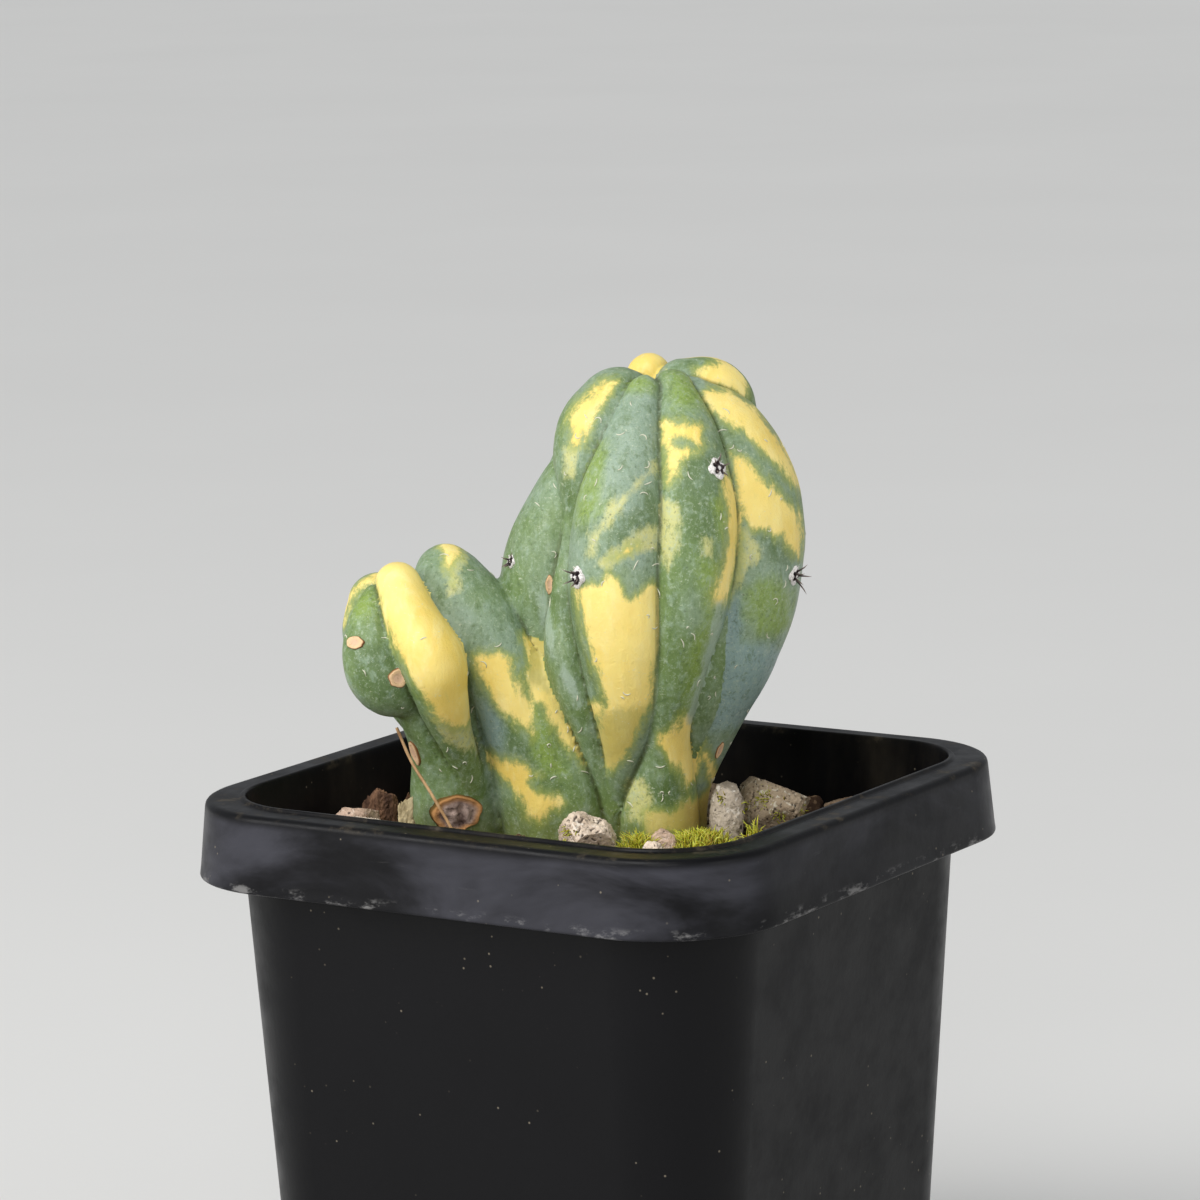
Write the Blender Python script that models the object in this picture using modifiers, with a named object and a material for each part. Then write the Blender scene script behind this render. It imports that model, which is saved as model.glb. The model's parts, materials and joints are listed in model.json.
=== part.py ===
"""Potted candle cactus: a square plastic pot, its soil, a ribbed plant with one branch, and a stone dressing.

Lengths are in metres and +Z is up. The origin is the centre of the pot's underside. The plant's tables are
in millimetres in the plant's own frame: x to the viewer's right, y away from the viewer, z above the soil.
"""
import math

import bmesh
import bpy
import numpy as np
from mathutils import Matrix, Vector, noise
from mathutils.bvhtree import BVHTree

MM = 0.001
GAP = 0.3

# Pot, in millimetres: half sides run from the centre to a flat side
POT_HEIGHT = 72.0
RIM_HALF = 35.0
RIM_RADIUS = 12.7
LEDGE_WIDTH = 3.3
BAND_HEIGHT = 8.5
BAND_FLARE = 0.9
BAND_THICKNESS = 1.0
BODY_HALF = 32.5
BODY_RADIUS = 12.8
BODY_TAPER = 0.07
MOUTH_HALF = 31.0
MOUTH_RADIUS = 9.9
LIP_HEIGHT = 0.3
FOOT_HALF = 24.0
FOOT_HEIGHT = 1.6
FLOOR_TOP = 2.8
FLOOR_HALF = 26.6
CORNER_STEPS = 7
DRAIN_RADIUS = 4.0
CORNER_DRAIN_RADIUS = 3.5
CORNER_DRAIN_AT = 15.0

# Soil
SOIL_LEVEL = 63.0
SOIL_RELIEF = 0.55
SOIL_RINGS = 7
ROOT_DEPTH = 8.0

# Plant frame
PLANT_TURN = math.radians(32.4)
PLANT_LEAN = 0.0229
PLANT_SHIFT = 0.25
STEM_X = 5.6
STEM_Y = 5.0
SAMPLE_STEP = 0.9
VOXEL = 0.55
BODY_TRIANGLES = 5600


def round_stem(turn, reach, z, radius):
    """A point of a stem rib: degrees round from the viewer, distance from the axis, height, radius."""
    angle = math.radians(turn)
    return (STEM_X + reach * math.sin(angle), STEM_Y - reach * math.cos(angle), z, radius)


# Each rib is a swelling cord: centre x, y, z and radius from the soil to the tip
STEM_RIBS = {
    "left": (
        round_stem(-70, 1.5, 0, 4.0),
        round_stem(-80, 2.6, 8, 4.6),
        round_stem(-90, 6.8, 17, 5.8),
        round_stem(-95, 10.3, 25, 6.5),
        round_stem(-92, 10.3, 32, 6.7),
        round_stem(-88, 7.7, 38.5, 6.2),
        round_stem(-85, 4.8, 44, 5.0),
    ),
    "front_left": (
        (2.2, 2.4, -2, 2.4),
        (1.1, 0.2, 7, 2.4),
        (-1.1, -1.1, 15, 2.9),
        (-3.2, -1.4, 22.5, 3.5),
        (-2.6, -0.9, 30, 3.5),
        (-0.9, 0.5, 38, 4.2),
        (0.3, 2.4, 45.6, 6.0),
        (1.6, 4.0, 49.2, 5.0),
    ),
    "front": (
        (2.9, 3.5, 0, 2.2),
        (2.2, -0.6, 8, 2.4),
        (2.6, -2.8, 16, 4.0),
        (2.3, -4.2, 24, 5.4),
        (1.7, -4.4, 31.5, 5.9),
        (2.1, -3.9, 39, 5.5),
        (3.0, -1.9, 45.5, 4.3),
        (4.4, 1.2, 50.8, 2.9),
    ),
    "front_right": (
        (6.0, 0.3, -2, 5.0),
        (5.9, -0.5, 6, 4.5),
        (6.0, -2.1, 14, 3.7),
        (6.9, -3.8, 22, 4.4),
        (8.6, -4.5, 30, 5.2),
        (9.4, -4.3, 38, 5.1),
        (8.8, -2.0, 45.5, 4.3),
        (7.3, 1.8, 51.4, 2.7),
    ),
    "right": (
        round_stem(70, 2.6, 0, 3.4),
        round_stem(72, 3.2, 8, 3.5),
        round_stem(75, 5.2, 16, 5.2),
        round_stem(79, 7.3, 24, 7.1),
        round_stem(81, 8.5, 32, 8.1),
        round_stem(81, 8.5, 39, 7.8),
        round_stem(80, 7.0, 45, 6.2),
        round_stem(75, 4.0, 49.2, 3.8),
    ),
    "back_right": (
        round_stem(130, 2.0, 0, 4.0),
        round_stem(130, 3.0, 8, 3.8),
        round_stem(130, 5.6, 17, 5.4),
        round_stem(130, 8.1, 28, 7.0),
        round_stem(130, 8.6, 38, 6.8),
        round_stem(122, 7.9, 46.2, 5.1),
        round_stem(116, 7.0, 50.2, 4.2),
        round_stem(130, 4.0, 51.5, 3.0),
    ),
    "back_fold": (
        round_stem(165, 8.0, 28, 6.0),
        round_stem(165, 8.0, 40, 6.0),
        round_stem(150, 4.8, 48.0, 3.6),
        round_stem(140, 2.2, 52.0, 1.5),
    ),
    "back": (
        round_stem(-160, 2.0, 0, 4.2),
        round_stem(-165, 4.0, 8, 5.0),
        round_stem(-168, 8.0, 19, 6.2),
        round_stem(-170, 9.3, 29, 7.0),
        round_stem(-172, 9.0, 39, 6.6),
        round_stem(-175, 7.4, 47, 4.6),
        round_stem(-173, 5.6, 52.4, 2.5),
    ),
    "back_left": (
        round_stem(-125, 2.0, 0, 4.2),
        round_stem(-128, 4.0, 8, 4.8),
        round_stem(-130, 7.6, 19, 6.0),
        round_stem(-130, 9.3, 29, 6.8),
        round_stem(-130, 8.7, 38, 6.4),
        round_stem(-130, 6.6, 45, 4.8),
        round_stem(-140, 4.0, 50, 3.0),
    ),
    "core": (
        (5.6, 5.0, -8, 5.0),
        (5.6, 5.0, 2, 5.6),
        (5.6, 5.0, 12, 7.0),
        (5.6, 5.0, 22, 11.0),
        (5.6, 5.0, 32, 12.4),
        (5.6, 5.0, 40, 10.5),
        (5.6, 5.0, 45, 7.0),
    ),
}
BRANCH_RIBS = {
    "outer": (
        (-17.3, 4.2, -4, 4.2),
        (-17.6, 3.8, 6, 4.2),
        (-18.0, 2.6, 12.0, 3.8),
        (-20.9, 0.2, 18.6, 3.2),
        (-24.2, -1.6, 20.6, 3.8),
        (-25.6, -1.8, 23.4, 3.5),
        (-25.7, -0.9, 26.4, 2.9),
        (-24.8, 0.5, 29.0, 2.3),
    ),
    "outer_back": (
        (-17.0, 5.0, 13, 3.8),
        (-22.0, 5.0, 19.5, 4.0),
        (-25.2, 4.8, 24.4, 4.0),
        (-25.2, 4.6, 28.3, 3.5),
    ),
    "middle": (
        (-14.4, 3.6, 5, 2.0),
        (-15.6, 1.2, 10, 2.1),
        (-16.9, -1.2, 14.5, 2.3),
        (-18.2, -3.3, 19.5, 3.1),
        (-19.1, -3.8, 23.2, 3.8),
        (-21.3, -2.7, 27.4, 3.2),
        (-22.9, -0.4, 31.1, 2.6),
    ),
    "inner": (
        (-6.5, 4.0, 0, 4.5),
        (-7.5, 3.0, 9, 5.2),
        (-9.7, 2.5, 17, 5.3),
        (-13.2, 3.0, 24.0, 5.1),
        (-16.8, 4.0, 29.2, 4.6),
        (-17.8, 5.0, 31.3, 3.5),
    ),
    "back": (
        (-14.0, 6.5, 4, 4.3),
        (-15.5, 7.6, 14, 4.9),
        (-18.6, 8.4, 22, 5.0),
        (-19.2, 8.0, 27.6, 4.3),
    ),
    "joint": (
        (-3.4, 3.5, -2, 4.8),
        (-4.0, 2.6, 7, 5.2),
        (-5.4, 2.8, 14, 5.1),
        (-6.6, 3.8, 19.5, 4.6),
        (-6.0, 4.8, 24.0, 4.8),
    ),
    "joint_side": (
        (-5.0, 3.7, -2, 4.8),
        (-5.8, 2.7, 8, 5.3),
        (-7.5, 2.5, 15.5, 5.3),
        (-9.4, 3.2, 20.0, 5.0),
    ),
    "core": (
        (-16.2, 5.0, -8, 4.0),
        (-16.0, 5.0, 5, 4.5),
        (-16.6, 4.5, 14, 4.8),
        (-18.8, 4.0, 22, 5.2),
    ),
}

# Areoles: a point near the skin, pad radius and spine length. The first four show in the photograph
AREOLES = (
    ((-3.1, -7.8, 32.7), 1.0, 1.2),
    ((12.2, -6.3, 44.1), 1.0, 1.1),
    ((20.9, -0.4, 31.1), 0.9, 1.7),
    ((-9.9, 2.3, 32.9), 0.6, 0.8),
    ((19.0, 15.5, 33.0), 1.0, 1.3),
    ((4.0, 21.5, 27.0), 1.0, 1.2),
    ((4.5, 19.5, 44.0), 0.9, 1.1),
    ((-7.5, 15.5, 36.0), 1.0, 1.3),
    ((-27.0, 9.0, 25.0), 0.8, 1.0),
    ((-19.5, 12.8, 25.0), 0.9, 1.2),
)
SPINES = 5
SPINE_RADIUS = 0.13
SPINE_SEED = 11

# Corky scars: a point near the skin, then half width, half height and thickness
SCARS = (
    ((-6.1, -0.9, 30.8), 0.5, 1.1, 0.16),
    ((-27.5, -4.2, 25.4), 1.1, 0.75, 0.22),
    ((-22.7, -5.1, 21.5), 1.1, 1.1, 0.24),
    ((-21.2, 0.2, 12.0), 0.7, 1.6, 0.3),
    ((12.7, 0.8, 11.4), 0.45, 1.1, 0.16),
    ((-16.4, -0.6, 5.1), 2.9, 2.1, 0.75),
)

# Stones in the photograph: centre x, y, height of the centre above the soil, three radii, turn, seed
PLACED_STONES = (
    (-1.7, -6.5, 2.8, 4.6, 3.3, 4.2, 120, 483),
    (14.2, -1.0, 3.9, 2.5, 2.6, 5.4, 100, 469),
    (19.6, 6.8, 2.9, 5.6, 4.0, 4.9, 160, 393),
    (6.6, -6.9, 2.2, 1.6, 1.4, 2.6, 0, 4),
    (5.4, -10.4, 1.7, 1.5, 1.3, 2.0, 30, 5),
    (-27.4, 4.2, 2.4, 3.9, 3.2, 3.8, 80, 442),
    (-26.0, -2.4, 3.0, 3.1, 2.6, 3.8, 60, 283),
    (-9.2, -4.6, 1.5, 1.5, 1.4, 2.1, 0, 8),
    (16.8, -4.9, 1.4, 1.3, 1.1, 2.0, 0, 9),
    (12.2, -7.6, 0.9, 2.5, 1.6, 1.7, -15, 10),
)
FINE_STONES = 2
SCATTERED_STONES = 35
SCATTER_SEED = 42
SCATTER_REACH = 29.8
SCATTER_LARGEST = 4.4
SCATTER_SMALLEST = 2.3
STONE_PLANES = 11
STONE_REACHES = (0.56, 0.88)
# Ground kept free of scattered stones: the plant's feet, as x, y and radius
PLANT_FEET = (
    (6.2, 4.6, 8.6),
    (-3.8, 3.4, 6.6),
    (-10.0, 4.2, 6.2),
    (-16.6, 4.6, 6.6),
)

# Chips: centre x, y, height above the soil, half width, half thickness, half height, turn, lean, seed
BARK_CHIPS = (
    (-25.3, 9.2, 3.1, 2.3, 1.3, 4.9, 25, 6, 166),
    (-22.0, 12.4, 2.3, 1.6, 0.9, 3.4, -30, -8, 22),
)
SLAB_CHIP = (-21.9, -1.5, 3.6, 1.3, 1.0, 5.0, 20, 4, 456)

# Dry stalk: points along it and its radius
STALK_PATH = (
    (-14.7, -4.3, -1.2),
    (-16.3, -3.9, 3.4),
    (-18.8, -3.1, 8.0),
    (-20.9, -2.0, 11.4),
    (-22.5, -1.2, 15.2),
)
STALK_RADIUS = 0.2


def clear_scene():
    for obj in list(bpy.data.objects):
        bpy.data.objects.remove(obj)


def make_collection(name):
    collection = bpy.data.collections.new(name)
    bpy.context.scene.collection.children.link(collection)
    return collection


def make_material(name, colour, roughness):
    material = bpy.data.materials.new(name)
    material.use_nodes = True
    shader = material.node_tree.nodes["Principled BSDF"]
    shader.inputs["Base Color"].default_value = (*colour, 1.0)
    shader.inputs["Roughness"].default_value = roughness
    return material


def add_object(name, bm, collection, material=None):
    """The millimetre mesh in bm as an object in metres."""
    bmesh.ops.recalc_face_normals(bm, faces=bm.faces[:])
    bmesh.ops.scale(bm, vec=(MM, MM, MM), verts=bm.verts[:])
    mesh = bpy.data.meshes.new(name)
    bm.to_mesh(mesh)
    bm.free()
    if material:
        mesh.materials.append(material)
    obj = bpy.data.objects.new(name, mesh)
    collection.objects.link(obj)
    return obj


def make_cutter(obj):
    obj.hide_render = True
    obj.display_type = "WIRE"
    return obj


def evaluated_mesh(obj):
    graph = bpy.context.evaluated_depsgraph_get()
    return bpy.data.meshes.new_from_object(obj.evaluated_get(graph))


def add_boolean(obj, other, operation, self_crossing=False):
    modifier = obj.modifiers.new(other.name, "BOOLEAN")
    modifier.operation = operation
    modifier.solver = "EXACT"
    modifier.use_self = self_crossing
    modifier.object = other


def to_pot(x, y, height):
    """A point of the plant's frame, by its height above the soil, in the pot's frame."""
    cosine, sine = math.cos(PLANT_TURN), math.sin(PLANT_TURN)
    return Vector((x * cosine - y * sine, x * sine + y * cosine, SOIL_LEVEL + height))


def on_plant(x, y, height):
    """A point of the leaning plant in the pot's frame."""
    return to_pot(x + PLANT_SHIFT + PLANT_LEAN * height, y, height)


def square_ring(bm, half, radius, z):
    """A rounded square of vertices at one height."""
    ring = []
    for corner in range(4):
        middle = math.radians(90 * corner + 45)
        reach = (half - radius) * math.sqrt(2)
        centre = Vector((reach * math.cos(middle), reach * math.sin(middle), z))
        for step in range(CORNER_STEPS + 1):
            angle = math.radians(90 * corner + 90 * step / CORNER_STEPS)
            offset = Vector((radius * math.cos(angle), radius * math.sin(angle), 0))
            ring.append(bm.verts.new(centre + offset))
    return ring


def bridge(bm, first, second):
    count = len(first)
    for index in range(count):
        after = (index + 1) % count
        bm.faces.new((first[index], first[after], second[after], second[index]))


def loft(bm, rings):
    for first, second in zip(rings, rings[1:]):
        bridge(bm, first, second)
    bm.faces.new(rings[0])
    bm.faces.new(rings[-1])


def body_half(z):
    return BODY_HALF - BODY_TAPER * (POT_HEIGHT - z)


def body_radius(z):
    return BODY_RADIUS - BODY_TAPER * (POT_HEIGHT - z)


def inner_half(z):
    share = (z - 6.0) / (POT_HEIGHT - 6.0)
    return FLOOR_HALF + (MOUTH_HALF - FLOOR_HALF) * share


def inner_radius(z):
    share = (z - 6.0) / (POT_HEIGHT - 6.0)
    return 7.0 + (MOUTH_RADIUS - 7.0) * share


def outside_sections():
    top = POT_HEIGHT
    under_rim = top - 1.2
    hem = top - BAND_HEIGHT
    flare = RIM_HALF + BAND_FLARE
    hem_radius = RIM_RADIUS + BAND_FLARE
    return [
        (FOOT_HALF, 5.5, FOOT_HEIGHT),
        (FOOT_HALF + 0.2, 5.7, 0.0),
        (body_half(0) - 0.45, body_radius(0) - 0.45, 0.0),
        (body_half(0.6), body_radius(0.6), 0.6),
        (body_half(under_rim), body_radius(under_rim), under_rim),
        (RIM_HALF - BAND_THICKNESS, RIM_RADIUS - BAND_THICKNESS, under_rim),
        (flare - BAND_THICKNESS, hem_radius - BAND_THICKNESS, hem),
        (flare, hem_radius, hem),
        (RIM_HALF + 0.08, RIM_RADIUS + 0.08, top - 0.7),
        (RIM_HALF - 0.12, RIM_RADIUS - 0.12, top - 0.2),
        (RIM_HALF - 0.5, RIM_RADIUS - 0.5, top),
    ]


def inside_sections():
    top = POT_HEIGHT
    ledge_end = RIM_HALF - LEDGE_WIDTH
    lip_radius = MOUTH_RADIUS + ledge_end - MOUTH_HALF
    return [
        (ledge_end, lip_radius, top),
        (ledge_end - 0.15, lip_radius - 0.15, top + LIP_HEIGHT),
        (MOUTH_HALF + 0.15, MOUTH_RADIUS + 0.15, top + LIP_HEIGHT),
        (MOUTH_HALF, MOUTH_RADIUS, top),
        (inner_half(6.0), inner_radius(6.0), 6.0),
        (inner_half(6.0) - 0.9, inner_radius(6.0) - 0.9, 3.4),
        (inner_half(6.0) - 2.2, inner_radius(6.0) - 2.2, FLOOR_TOP),
    ]


def make_drains(collection):
    bm = bmesh.new()
    places = [(0.0, 0.0, DRAIN_RADIUS)]
    for x in (-CORNER_DRAIN_AT, CORNER_DRAIN_AT):
        for y in (-CORNER_DRAIN_AT, CORNER_DRAIN_AT):
            places.append((x, y, CORNER_DRAIN_RADIUS))
    for x, y, radius in places:
        bmesh.ops.create_cone(
            bm,
            cap_ends=True,
            segments=16,
            radius1=radius,
            radius2=radius,
            depth=6.0,
            matrix=Matrix.Translation((x, y, FLOOR_TOP)),
        )
    return make_cutter(add_object("drain_cutter", bm, collection))


def make_pot(parts, cutters):
    bm = bmesh.new()
    sections = outside_sections() + inside_sections()
    loft(bm, [square_ring(bm, *section) for section in sections])
    plastic = make_material("black_plastic", (0.012, 0.012, 0.013), 0.42)
    pot = add_object("pot", bm, parts, plastic)
    add_boolean(pot, make_drains(cutters), "DIFFERENCE")
    return pot


def sampled(points, step):
    """A smooth run of (x, y, z, radius) through the points of a rib, about one step apart."""
    path = np.array(points, float)
    path = np.vstack([2 * path[0] - path[1], path, 2 * path[-1] - path[-2]])
    found = []
    for a, b, c, d in zip(path, path[1:], path[2:], path[3:]):
        count = max(2, math.ceil(np.linalg.norm((c - b)[:3]) / step))
        for t in np.arange(count) / count:
            line = 2 * b + (c - a) * t
            bend = (2 * a - 5 * b + 4 * c - d) * t**2
            twist = (3 * b - a - 3 * c + d) * t**3
            found.append(0.5 * (line + bend + twist))
    found.append(path[-2])
    return found


def unit_ball(subdivisions):
    """The points and triangles of a ball of radius 1."""
    bm = bmesh.new()
    bmesh.ops.create_icosphere(bm, subdivisions=subdivisions, radius=1.0)
    points = np.array([vertex.co for vertex in bm.verts])
    faces = np.array([[vertex.index for vertex in face.verts] for face in bm.faces])
    bm.free()
    return points, faces


def make_ribs(cutters):
    """Every rib as a run of balls that the remesh joins into one skin."""
    points, faces = unit_ball(3)
    all_points = []
    all_faces = []
    for rib in (*STEM_RIBS.values(), *BRANCH_RIBS.values()):
        for x, y, z, radius in sampled(rib, SAMPLE_STEP):
            all_faces.append(faces + len(points) * len(all_points))
            all_points.append(points * radius + np.array(on_plant(x, y, z)))
    mesh = bpy.data.meshes.new("rib_balls")
    mesh.from_pydata(np.concatenate(all_points) * MM, [], np.concatenate(all_faces).tolist())
    balls = bpy.data.objects.new("rib_balls", mesh)
    cutters.objects.link(balls)
    return make_cutter(balls)


def make_body(cutters):
    """The plant's skin as one closed mesh, flat where it ends in the soil."""
    ribs = make_ribs(cutters)
    skin = ribs.modifiers.new("skin", "REMESH")
    skin.mode = "VOXEL"
    skin.voxel_size = VOXEL * MM
    smooth = ribs.modifiers.new("smooth", "SMOOTH")
    smooth.factor = 0.5
    smooth.iterations = 3
    mesh = evaluated_mesh(ribs)
    mesh.calc_loop_triangles()
    ribs.modifiers.clear()
    body = bpy.data.objects.new("body", mesh)
    cutters.objects.link(body)
    fewer = body.modifiers.new("fewer", "DECIMATE")
    fewer.ratio = BODY_TRIANGLES / len(mesh.loop_triangles)
    fewer.use_collapse_triangulate = True
    body.data = evaluated_mesh(body)
    body.modifiers.clear()
    return make_cutter(body)


def make_root_cut(cutters):
    """A block that ends the plant level below the soil."""
    bm = bmesh.new()
    bottom = SOIL_LEVEL - ROOT_DEPTH
    place = Matrix.Translation((0, 0, bottom - 10)) @ Matrix.Diagonal((80, 80, 20, 1))
    bmesh.ops.create_cube(bm, size=1.0, matrix=place)
    return make_cutter(add_object("root_cut", bm, cutters))


def skin_frame(tree, point):
    """A matrix at the skin nearest to a plant point: its z axis out of the skin, its y axis up along it."""
    place, normal, _, _ = tree.find_nearest(on_plant(*point) * MM)
    side = Vector((0, 0, 1)).cross(normal).normalized()
    up = normal.cross(side)
    turn = Matrix((side, up, normal)).transposed().to_4x4()
    return Matrix.Translation(place / MM) @ turn


def add_blob(name, frame, width, height, thickness, details):
    bm = bmesh.new()
    size = Matrix.Diagonal((width, height, thickness, 1))
    bmesh.ops.create_icosphere(bm, subdivisions=2, radius=1.0, matrix=frame @ size)
    make_cutter(add_object(name, bm, details))


def add_spine(frame, around, rise, length, details):
    """A three-sided needle whose root is sunk in its pad."""
    bm = bmesh.new()
    turn = Matrix.Rotation(around, 4, "Z") @ Matrix.Rotation(rise, 4, "Y")
    place = Matrix.Translation((0, 0, length / 2 - 0.15))
    bmesh.ops.create_cone(
        bm,
        cap_ends=True,
        segments=3,
        radius1=SPINE_RADIUS,
        radius2=SPINE_RADIUS * 0.2,
        depth=length,
        matrix=frame @ turn @ place,
    )
    make_cutter(add_object("spine", bm, details))


def make_details(tree):
    """Areole pads, spines and corky scars, each a closed object of its own in one collection."""
    draw = np.random.default_rng(SPINE_SEED)
    details = make_collection("cactus_details")
    for point, pad, spine in AREOLES:
        frame = skin_frame(tree, point)
        add_blob("pad", frame, pad, pad, pad * 0.42, details)
        for index in range(SPINES):
            around = 2 * math.pi * (index + draw.uniform(-0.2, 0.2)) / SPINES
            rise = math.radians(draw.uniform(35, 75))
            lift = frame @ Matrix.Translation((0, 0, pad * 0.2))
            add_spine(lift, around, rise, spine * draw.uniform(0.8, 1.15) + 0.5, details)
    for point, width, height, thickness in SCARS:
        add_blob("scar", skin_frame(tree, point), width, height, thickness, details)
    return details


def join_details(cactus, details):
    """One union takes the whole collection in and is applied; then its objects go."""
    modifier = cactus.modifiers.new("details", "BOOLEAN")
    modifier.operation = "UNION"
    modifier.solver = "MANIFOLD"
    modifier.operand_type = "COLLECTION"
    modifier.collection = details
    cactus.data = evaluated_mesh(cactus)
    cactus.modifiers.clear()
    for detail in list(details.objects):
        bpy.data.objects.remove(detail)
    bpy.data.collections.remove(details)


def make_cactus(parts, cutters):
    body = make_body(cutters)
    tree = BVHTree.FromPolygons(
        [vertex.co for vertex in body.data.vertices],
        [face.vertices for face in body.data.polygons],
    )
    cactus = bpy.data.objects.new("cactus", body.data.copy())
    parts.objects.link(cactus)
    cactus.data.materials.append(make_material("cactus_skin", (0.16, 0.26, 0.17), 0.5))
    add_boolean(cactus, make_root_cut(cutters), "DIFFERENCE")
    join_details(cactus, make_details(tree))
    return cactus


def soil_ring(bm, scale):
    """One ring of the soil's lumpy top, drawn in towards the middle by scale."""
    edge = SOIL_LEVEL - 0.2
    half = (inner_half(edge) - GAP) * scale
    radius = (inner_radius(edge) - GAP) * scale
    ring = square_ring(bm, half, radius, SOIL_LEVEL)
    for vertex in ring:
        vertex.co.z += SOIL_RELIEF * noise.noise(vertex.co / 4.0)
    return ring


def make_root_hole(body, cutters):
    """A plain hole for the plant's foot: the hull of its outline, a little larger all round."""
    low = [v.co / MM for v in body.data.vertices if v.co.z < (SOIL_LEVEL + 1.0) * MM]
    middle = sum(low, Vector()) / len(low)
    bm = bmesh.new()
    for point in low:
        out = (point - middle) * Vector((1, 1, 0))
        out = out + out.normalized() * (GAP + 0.15)
        for z in (SOIL_LEVEL - ROOT_DEPTH - GAP, SOIL_LEVEL + 5.0):
            bm.verts.new((middle.x + out.x, middle.y + out.y, z))
    hull = bmesh.ops.convex_hull(bm, input=bm.verts[:])
    loose = list({v for v in hull["geom_interior"] if isinstance(v, bmesh.types.BMVert)})
    bmesh.ops.delete(bm, geom=loose, context="VERTS")
    bmesh.ops.dissolve_limit(bm, angle_limit=0.02, verts=bm.verts[:], edges=bm.edges[:])
    return make_cutter(add_object("root_hole", bm, cutters))


def make_soil(parts, cutters, pockets):
    bm = bmesh.new()
    rings = [
        square_ring(bm, inner_half(6.0) - 3.0, inner_radius(6.0) - 3.0, FLOOR_TOP + GAP),
        square_ring(bm, inner_half(6.0) - 1.4, inner_radius(6.0) - 1.4, FLOOR_TOP + GAP + 0.6),
        square_ring(bm, inner_half(6.0) - GAP, inner_radius(6.0) - GAP, 6.4),
    ]
    edge = SOIL_LEVEL - 0.2
    rings.append(square_ring(bm, inner_half(edge) - GAP, inner_radius(edge) - GAP, edge - 0.5))
    for index in range(SOIL_RINGS):
        rings.append(soil_ring(bm, 0.985 - 0.9 * index / SOIL_RINGS))
    loft(bm, rings)
    soil = add_object("soil", bm, parts, make_material("soil", (0.05, 0.035, 0.025), 0.95))
    add_boolean(soil, make_root_hole(bpy.data.objects["body"], cutters), "DIFFERENCE")
    beds = make_cutter(add_object("stone_beds", pockets, cutters))
    add_boolean(soil, beds, "DIFFERENCE", self_crossing=True)
    return soil


def add_stone(bm, centre, radii, turn, seed, grow=0.0, fineness=2):
    """An angular lump: a ball pressed flat on seeded sides. It returns the vertices."""
    draw = np.random.default_rng(seed)
    normals = draw.normal(size=(STONE_PLANES, 3))
    normals /= np.linalg.norm(normals, axis=1)[:, None]
    reaches = draw.uniform(*STONE_REACHES, STONE_PLANES)
    made = bmesh.ops.create_icosphere(bm, subdivisions=fineness, radius=1.0)["verts"]
    spin = Matrix.Rotation(math.radians(turn), 3, "Z")
    for vertex in made:
        place = np.array(vertex.co)
        for normal, reach in zip(normals, reaches):
            over = float(place @ normal) - reach
            if over > 0:
                place = place - normal * over
        grown = Vector([place[axis] * (radii[axis] + grow) for axis in range(3)])
        vertex.co = spin @ grown + centre
    return made


def free_place(x, y, radius, taken):
    """True where a scattered stone meets no other stone, no foot of the plant and no wall."""
    place = to_pot(x, y, 0)
    limit = SCATTER_REACH - radius
    if abs(place.x) > limit or abs(place.y) > limit:
        return False
    corner = SCATTER_REACH - MOUTH_RADIUS
    inside = math.hypot(max(abs(place.x) - corner, 0), max(abs(place.y) - corner, 0))
    if inside > MOUTH_RADIUS - radius:
        return False
    for other_x, other_y, reach in (*PLANT_FEET, *taken):
        if math.hypot(x - other_x, y - other_y) < 0.93 * (reach + radius) + GAP:
            return False
    return True


def scattered_stones():
    """Seeded stones over the rest of the soil, largest first."""
    draw = np.random.default_rng(SCATTER_SEED)
    taken = [(x, y, max(rx, ry)) for x, y, _, rx, ry, *_ in PLACED_STONES]
    taken += [(x, y, 2.3) for x, y, *_ in (*BARK_CHIPS, SLAB_CHIP)]
    taken += [(x, y, 0.6) for x, y, _ in STALK_PATH[:2]]
    found = []
    for index in range(SCATTERED_STONES):
        share = index / SCATTERED_STONES
        size = SCATTER_LARGEST - (SCATTER_LARGEST - SCATTER_SMALLEST) * share
        for _ in range(600):
            x, y = draw.uniform(-42, 42, 2)
            if free_place(x, y, size, taken):
                taken.append((x, y, size))
                flat = draw.uniform(0.62, 0.85)
                radii = (size, size * draw.uniform(0.7, 0.95), size * flat)
                height = size * flat * draw.uniform(0.35, 0.6)
                found.append((x, y, height, *radii, draw.uniform(0, 180), 100 + index))
                break
    return found


def add_chip(bm, chip, grow=0.0):
    """A thin flake that stands on edge, with a ragged outline."""
    x, y, height, wide, thick, tall, turn, lean, seed = chip
    made = add_stone(bm, Vector(), (wide, thick, tall), 0, seed, grow)
    tilt = Matrix.Rotation(math.radians(turn), 4, "Z") @ Matrix.Rotation(math.radians(lean), 4, "Y")
    bmesh.ops.transform(bm, matrix=Matrix.Translation(to_pot(x, y, height)) @ tilt, verts=made)


def make_stones(parts, pockets):
    """The stones as nodes, and for each a slightly larger copy in pockets, which cuts its bed in the soil."""
    pumice = make_material("pumice", (0.46, 0.40, 0.33), 0.9)
    for index, stone in enumerate((*PLACED_STONES, *scattered_stones())):
        x, y, height, *radii, turn, seed = stone
        centre = to_pot(x, y, height)
        bm = bmesh.new()
        add_stone(bm, centre, radii, turn, seed, fineness=3 if index < FINE_STONES else 2)
        add_object(f"pumice_{index + 1:02d}", bm, parts, pumice)
        add_stone(pockets, centre, radii, turn, seed, grow=GAP + 0.15)


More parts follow.
